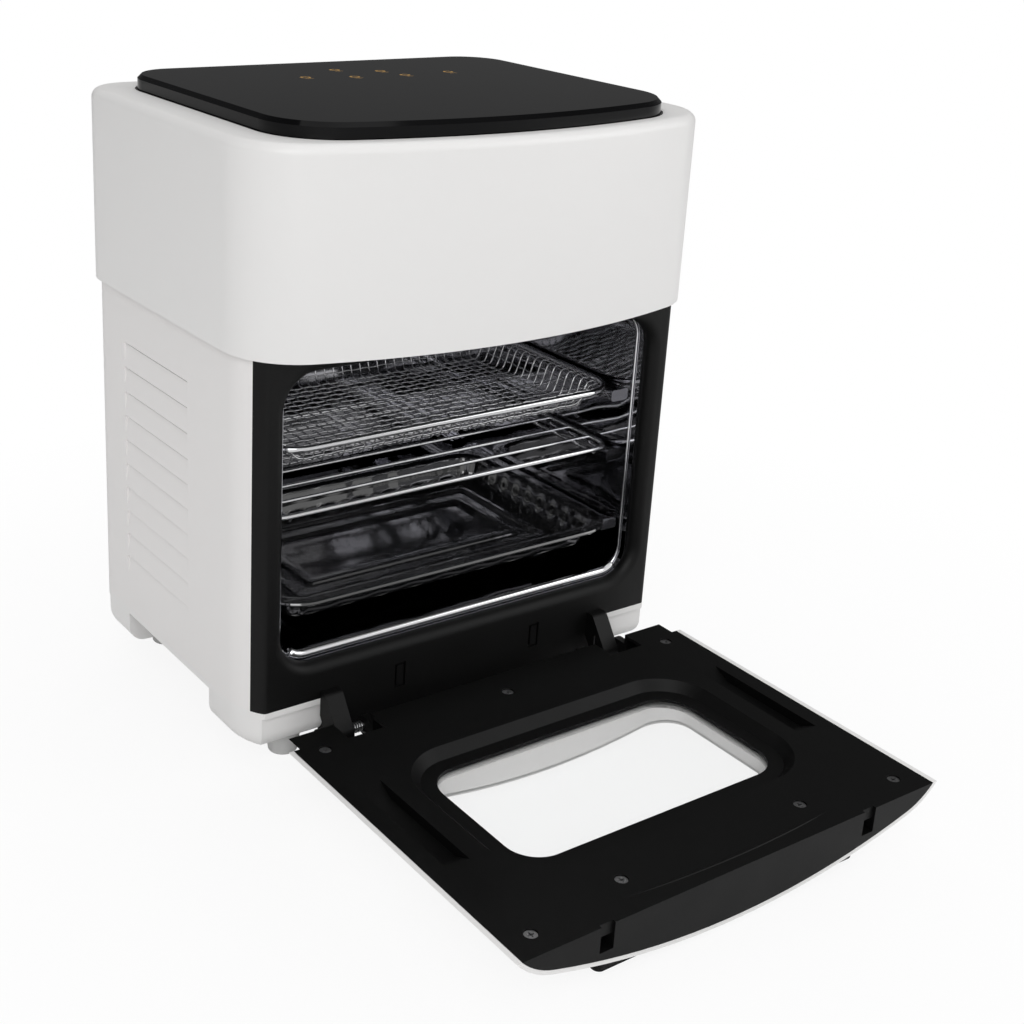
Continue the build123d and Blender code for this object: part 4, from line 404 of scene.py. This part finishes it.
x_along, y_across, x_weave = wires(FLANGE_HALF_X, FLANGE_HALF_Y, WEFT_POINTS)
y_along, x_across, y_weave = wires(FLANGE_HALF_Y, FLANGE_HALF_X, WARP_POINTS)
weft = np.stack([x_along, y_across + BASKET_MID_Y, basket_height(x_along, y_across) + x_weave], axis=-1)
warp = np.stack([x_across, y_along + BASKET_MID_Y, basket_height(x_across, y_along) - y_weave], axis=-1)
weft_points, weft_faces = tubes(weft, WIRE, sides=6)
warp_points, warp_faces = tubes(warp, WIRE, sides=6)
woven_wire = grained("woven_stainless_wire", "D6D6D8", 0.2, 1.2, 0.004, metallic=1.0)
weft_net = piece("woven_mesh_weft", weft_points, weft_faces, woven_wire, "mesh_tray")
piece("woven_mesh_warp", warp_points, warp_faces, woven_wire, "mesh_tray")
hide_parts("mesh_basket")

# %% [markdown]
# The drip tray is pressed from one sheet. Its profile runs from the curled rim down a fluted wall to a
# floor with two stepped ridges. Carried round a rounded rectangle it makes the tray: each profile point
# has an inset from the rim and a height, and the flutes move the wall's points in and out.

# %% Pressed drip tray
TRAY_HALF_X, TRAY_HALF_Y, TRAY_CORNER, TRAY_MID_Y, TRAY_RIM_Z = 133.5, 85.0, 28.0, 97.0, 99.2


def outline(half_x, half_y, corner, side_points=48, arc_points=14):
    """A closed rounded rectangle: four arcs, centre + corner * (cos a, sin a), and the sides between."""
    parts = []
    for k, (sign_x, sign_y) in enumerate(((1, 1), (-1, 1), (-1, -1), (1, -1))):
        turn = np.linspace(k, k + 1, arc_points) * np.pi / 2
        centre = np.array([sign_x * (half_x - corner), sign_y * (half_y - corner)])
        parts.append(centre + corner * np.stack([np.cos(turn), np.sin(turn)], axis=1))
    loops = []
    for k, arc in enumerate(parts):
        share = np.linspace(0, 1, side_points + 2)[1:-1, None]
        loops += [arc, arc[-1] + share * (parts[(k + 1) % 4][0] - arc[-1])]
    return np.concatenate(loops)


def smooth_profile(knots, steps):
    """Points between the knots, spaced evenly by share of each stretch, eased as t * t * (3 - 2 * t)."""
    knots = np.array(knots, dtype=float)
    t = np.linspace(0, 1, steps, endpoint=False)
    ease = (t * t * (3 - 2 * t))[None, :]
    inset = knots[:-1, :1] + (knots[1:, :1] - knots[:-1, :1]) * t[None]
    height = knots[:-1, 1:] + (knots[1:, 1:] - knots[:-1, 1:]) * ease
    return np.append(inset, knots[-1, 0]), np.append(height, knots[-1, 1])


SHEET_MM, SHEET_SHARE, PROFILE_STEPS, LEAST_CORNER = 1.2, 0.96, 5, 4.0
FLUTE_START, FLUTE_END, FLUTE_DEPTH, FLUTE_POINTS = 10.4, 15.6, 0.5, 6
insets, heights = smooth_profile(
    [(0.2, 0.2), (0.8, SHEET_MM), (8.5, SHEET_MM), (10.5, 0.4), (15.5, -13.6), (18, -14.8), (32, -14.8),
     (34.5, -12.6), (38, -12.6), (40.5, -14.8), (48, -14.8), (50.5, -12.9), (53, -12.9), (55.5, -14.6),
     (80, -14.8)], PROFILE_STEPS)
top_count = len(insets)
insets = np.concatenate([insets, insets[::-1]])
heights = np.concatenate([heights, heights[::-1] - SHEET_MM * SHEET_SHARE])
flute = np.where((insets > FLUTE_START) & (insets < FLUTE_END), 1.0, 0.0)
middle = np.array([TRAY_HALF_X, TRAY_HALF_Y])
rings = []
for inset, height, fluted in zip(insets, heights, flute):
    ring_points = outline(TRAY_HALF_X - inset, TRAY_HALF_Y - inset, max(TRAY_CORNER - inset, LEAST_CORNER))
    beat = np.cos(np.arange(len(ring_points)) * 2 * np.pi / FLUTE_POINTS)
    pushed = ring_points * (1 - fluted * FLUTE_DEPTH * (1 + beat[:, None]) / middle)
    rings.append(np.column_stack([pushed[:, 0], pushed[:, 1] + TRAY_MID_Y,
                                  np.full(len(pushed), TRAY_RIM_Z + height)]))
ring_size = len(rings[0])
tray_faces = grid_faces(len(rings), ring_size, wrap=True).tolist()
inner_top = (np.arange(ring_size) + (top_count - 1) * ring_size).tolist()
inner_low = (np.arange(ring_size) + top_count * ring_size)[::-1].tolist()
tray_faces = [face for face in tray_faces if not (min(face) >= (top_count - 1) * ring_size
                                                  and max(face) < (top_count + 1) * ring_size)]
tray = piece("pressed_drip_tray", np.concatenate(rings), tray_faces + [inner_top, inner_low],
             black_enamel, "drip_pan")
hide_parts("drip_tray")

# %% [markdown]
# The liner's front edge is rolled over into the frame. It shows as a thin bright line round the opening,
# and as a thicker roll along the sill. The sill and the line are tubes on the same rounded rectangle.

# %% Rolled edge of the liner
OPENING_HALF_X, OPENING_HALF_Z, OPENING_CORNER, OPENING_MID_Z = 135.0, 93.0, 18.0, 159.0
EDGE_RADIUS, EDGE_Y = 0.7, 13.4
SILL_RADIUS, SILL_INSET, SILL_Y, SILL_RISE = 2.8, 3.0, 11.2, 8.0


def opening_path(inset, depth_y):
    """The liner's rounded rectangle moved inwards, in the XZ plane at a depth."""
    flat_loop = outline(OPENING_HALF_X - inset, OPENING_HALF_Z - inset, OPENING_CORNER - inset)
    return np.column_stack([flat_loop[:, 0], np.full(len(flat_loop), depth_y),
                            flat_loop[:, 1] + OPENING_MID_Z])


edge_points, edge_faces = tubes(opening_path(EDGE_RADIUS, EDGE_Y)[None], EDGE_RADIUS, sides=8,
                               closed=True)
polished_edge = grained("polished_rolled_edge", "E4E4E6", 0.1, 2.0, 0.003, spread=0.03, metallic=1.0)
piece("liner_rolled_edge", edge_points, edge_faces, polished_edge, "oven")
loop = opening_path(SILL_INSET, SILL_Y)
sill = loop[loop[:, 2] < OPENING_MID_Z - OPENING_HALF_Z + SILL_RISE]
sill = sill[np.argsort(sill[:, 0])]
sill_points, sill_faces = tubes(sill[None], SILL_RADIUS, sides=12)
piece("liner_sill_roll", sill_points, sill_faces, polished_edge, "oven")

# %% [markdown]
# The door's inner moulding has a shallow bowed rib near its free end, sunk in the surface and fading
# into it at both ends: y = RIB_Y + RIB_BOW * (x / RIB_HALF) ** 2.

# %% Rib on the door
RIB_HALF, RIB_Y, RIB_BOW, RIB_Z, RIB_FADE, RIB_RADIUS = 92, -241.5, 6.0, 35.4, 1.0, 1.1
rib_x = np.linspace(-RIB_HALF, RIB_HALF, 60)
rib_y = RIB_Y + RIB_BOW * (rib_x / RIB_HALF) ** 2
rib_fade = RIB_FADE * (rib_x / RIB_HALF) ** 4
rib_path = np.column_stack([rib_x, rib_y, RIB_Z - rib_fade])
rib_points, rib_faces = tubes(rib_path[None], RIB_RADIUS, sides=10)
piece("door_rib", rib_points, rib_faces, spark_black, "door")

# %% [markdown]
# ## The camera
# The photograph was taken a little above the head, from the oven's left. The view direction, the
# distance and the lens were worked out by matching the head, frame and door edges. A yaw of 0 looks
# along +Y and a positive one turns towards +X.

# %% Camera at the photograph's angle
IMAGE_PX = 1024
FOCAL_PX = 1585.9
CENTRE_PX = (424.6, 407.5)
YAW, PITCH, ROLL = math.radians(35.41), math.radians(-19.49), math.radians(2.66)
EYE_MM = Vector((-556.2, -721.0, 530.9))


def camera_axes(yaw, pitch, roll):
    """Forward from yaw and pitch, right level with the floor, then both turned about forward."""
    forward = Vector((math.sin(yaw) * math.cos(pitch), math.cos(yaw) * math.cos(pitch), math.sin(pitch)))
    right = Vector((math.cos(yaw), -math.sin(yaw), 0))
    up = right.cross(forward)
    turned_right = right * math.cos(roll) + up * math.sin(roll)
    turned_up = up * math.cos(roll) - right * math.sin(roll)
    return turned_right, turned_up, forward


lens = bpy.data.cameras.new("camera")
lens.sensor_width = 36
lens.lens = FOCAL_PX * lens.sensor_width / IMAGE_PX
lens.shift_x = (IMAGE_PX / 2 - CENTRE_PX[0]) / IMAGE_PX
lens.shift_y = (CENTRE_PX[1] - IMAGE_PX / 2) / IMAGE_PX
lens.clip_end = 20
camera = bpy.data.objects.new("camera", lens)
collection.objects.link(camera)
right, up, forward = camera_axes(YAW, PITCH, ROLL)
camera.matrix_world = Matrix((
    (right.x, up.x, -forward.x, EYE_MM.x * MM),
    (right.y, up.y, -forward.y, EYE_MM.y * MM),
    (right.z, up.z, -forward.z, EYE_MM.z * MM),
    (0, 0, 0, 1)))
scene.camera = camera
print("lens", round(lens.lens, 1), "mm")

# %% [markdown]
# ## Light and floor
# A shop photograph of a white appliance uses large soft lights and a white sweep. The floor takes the
# object's shadow and is lifted towards white for the camera and through glass, so the white page stays
# white without more light on the object. What shines mirrors a white wall in front, which lights up
# chrome and the oven's inside, and a dim one behind, which keeps the touch slab black.

# %% Soft boxes, world and floor
def softbox(name, place, aim, size, power):
    """A square area light at place, turned to face aim, all in metres and watts."""
    lamp = bpy.data.lights.new(name, "AREA")
    lamp.shape = "RECTANGLE"
    lamp.size, lamp.size_y = size
    lamp.energy = power
    obj = bpy.data.objects.new(name, lamp)
    collection.objects.link(obj)
    obj.location = place
    obj.rotation_euler = (Vector(aim) - Vector(place)).to_track_quat("-Z", "Y").to_euler()
    return obj


AIM = (0, 0, 0.2)
WORLD_LIGHT, MIRRORED_BEHIND, MIRRORED_BEFORE = 0.42, 0.10, 0.85
softbox("key_softbox", (-1.4, -1.65, 1.7), AIM, (1.6, 1.6), 28)
softbox("fill_softbox", (1.9, -1.2, 1.1), AIM, (1.4, 1.8), 14)
softbox("top_softbox", (0.1, 0.1, 2.4), AIM, (1.8, 1.8), 9)
rear = softbox("rear_softbox", (0.9, 2.0, 1.3), AIM, (1.6, 1.4), 12)
rear.visible_glossy = False

# What mirrors sees the front wall where a ray's direction has Y under -0.75, and the rear one over -0.1
world = bpy.data.worlds.new("white_studio")
scene.world = world
world.use_nodes = True
sky = world.node_tree
backdrop = sky.nodes["Background"]
backdrop.inputs["Color"].default_value = (1, 1, 1, 1)
path = add(sky, "ShaderNodeLightPath")
seen = add(sky, "ShaderNodeMath", {"operation": "MAXIMUM"}, _0=path.outputs["Is Camera Ray"],
           _1=path.outputs["Is Transmission Ray"])
towards = add(sky, "ShaderNodeTexCoord")
split = add(sky, "ShaderNodeSeparateXYZ", Vector=towards.outputs["Generated"])
before = add(sky, "ShaderNodeMapRange", Value=split.outputs["Y"], From_Min=-0.75, From_Max=-0.1,
             To_Min=MIRRORED_BEFORE - WORLD_LIGHT, To_Max=MIRRORED_BEHIND - WORLD_LIGHT)
mirrored = add(sky, "ShaderNodeMath", {"operation": "MULTIPLY_ADD"}, _0=path.outputs["Is Glossy Ray"],
               _1=before.outputs["Result"], _2=WORLD_LIGHT)
strength = add(sky, "ShaderNodeMath", {"operation": "MULTIPLY_ADD"}, _0=seen.outputs["Value"],
               _1=1.0 - WORLD_LIGHT, _2=mirrored.outputs["Value"])
sky.links.new(strength.outputs["Value"], backdrop.inputs["Strength"])


def studio_floor():
    """A matt pale floor whose seen colour is mixed towards white, the more so further out."""
    material = grained("matt_white_sweep", "F2F2F2", 0.9, 4.0, 0.0, spread=0.02)
    tree = material.node_tree
    shader = tree.nodes["Principled BSDF"]
    shader.inputs["Specular IOR Level"].default_value = 0.0
    rays = add(tree, "ShaderNodeLightPath")
    through = add(tree, "ShaderNodeMath", {"operation": "MAXIMUM"}, _0=rays.outputs["Is Camera Ray"],
                  _1=rays.outputs["Is Transmission Ray"])
    place = next(node for node in tree.nodes if node.type == "TEX_COORD")
    away = add(tree, "ShaderNodeVectorMath", {"operation": "LENGTH"}, _0=place.outputs["Object"])
    lift = add(tree, "ShaderNodeMapRange", Value=away.outputs["Value"], From_Min=0.25, From_Max=0.6,
               To_Min=0.88, To_Max=1.0)
    share = add(tree, "ShaderNodeMath", {"operation": "MULTIPLY"}, _0=through.outputs["Value"],
                _1=lift.outputs["Result"])
    glow = add(tree, "ShaderNodeEmission", Color=(1, 1, 1, 1), Strength=1.0)
    blend = add(tree, "ShaderNodeMixShader", _0=share.outputs["Value"], _1=shader.outputs["BSDF"],
                _2=glow.outputs["Emission"])
    tree.links.new(blend.outputs["Shader"], tree.nodes["Material Output"].inputs["Surface"])
    return material


FLOOR_HALF = 6.0
floor_mesh = bpy.data.meshes.new("studio_floor")
floor_mesh.from_pydata([(-FLOOR_HALF, -FLOOR_HALF, 0), (FLOOR_HALF, -FLOOR_HALF, 0),
                        (FLOOR_HALF, FLOOR_HALF, 0), (-FLOOR_HALF, FLOOR_HALF, 0)], [], [(0, 1, 2, 3)])
floor = bpy.data.objects.new("studio_floor", floor_mesh)
collection.objects.link(floor)
floor_mesh.materials.append(studio_floor())

scene.view_settings.view_transform = "Standard"
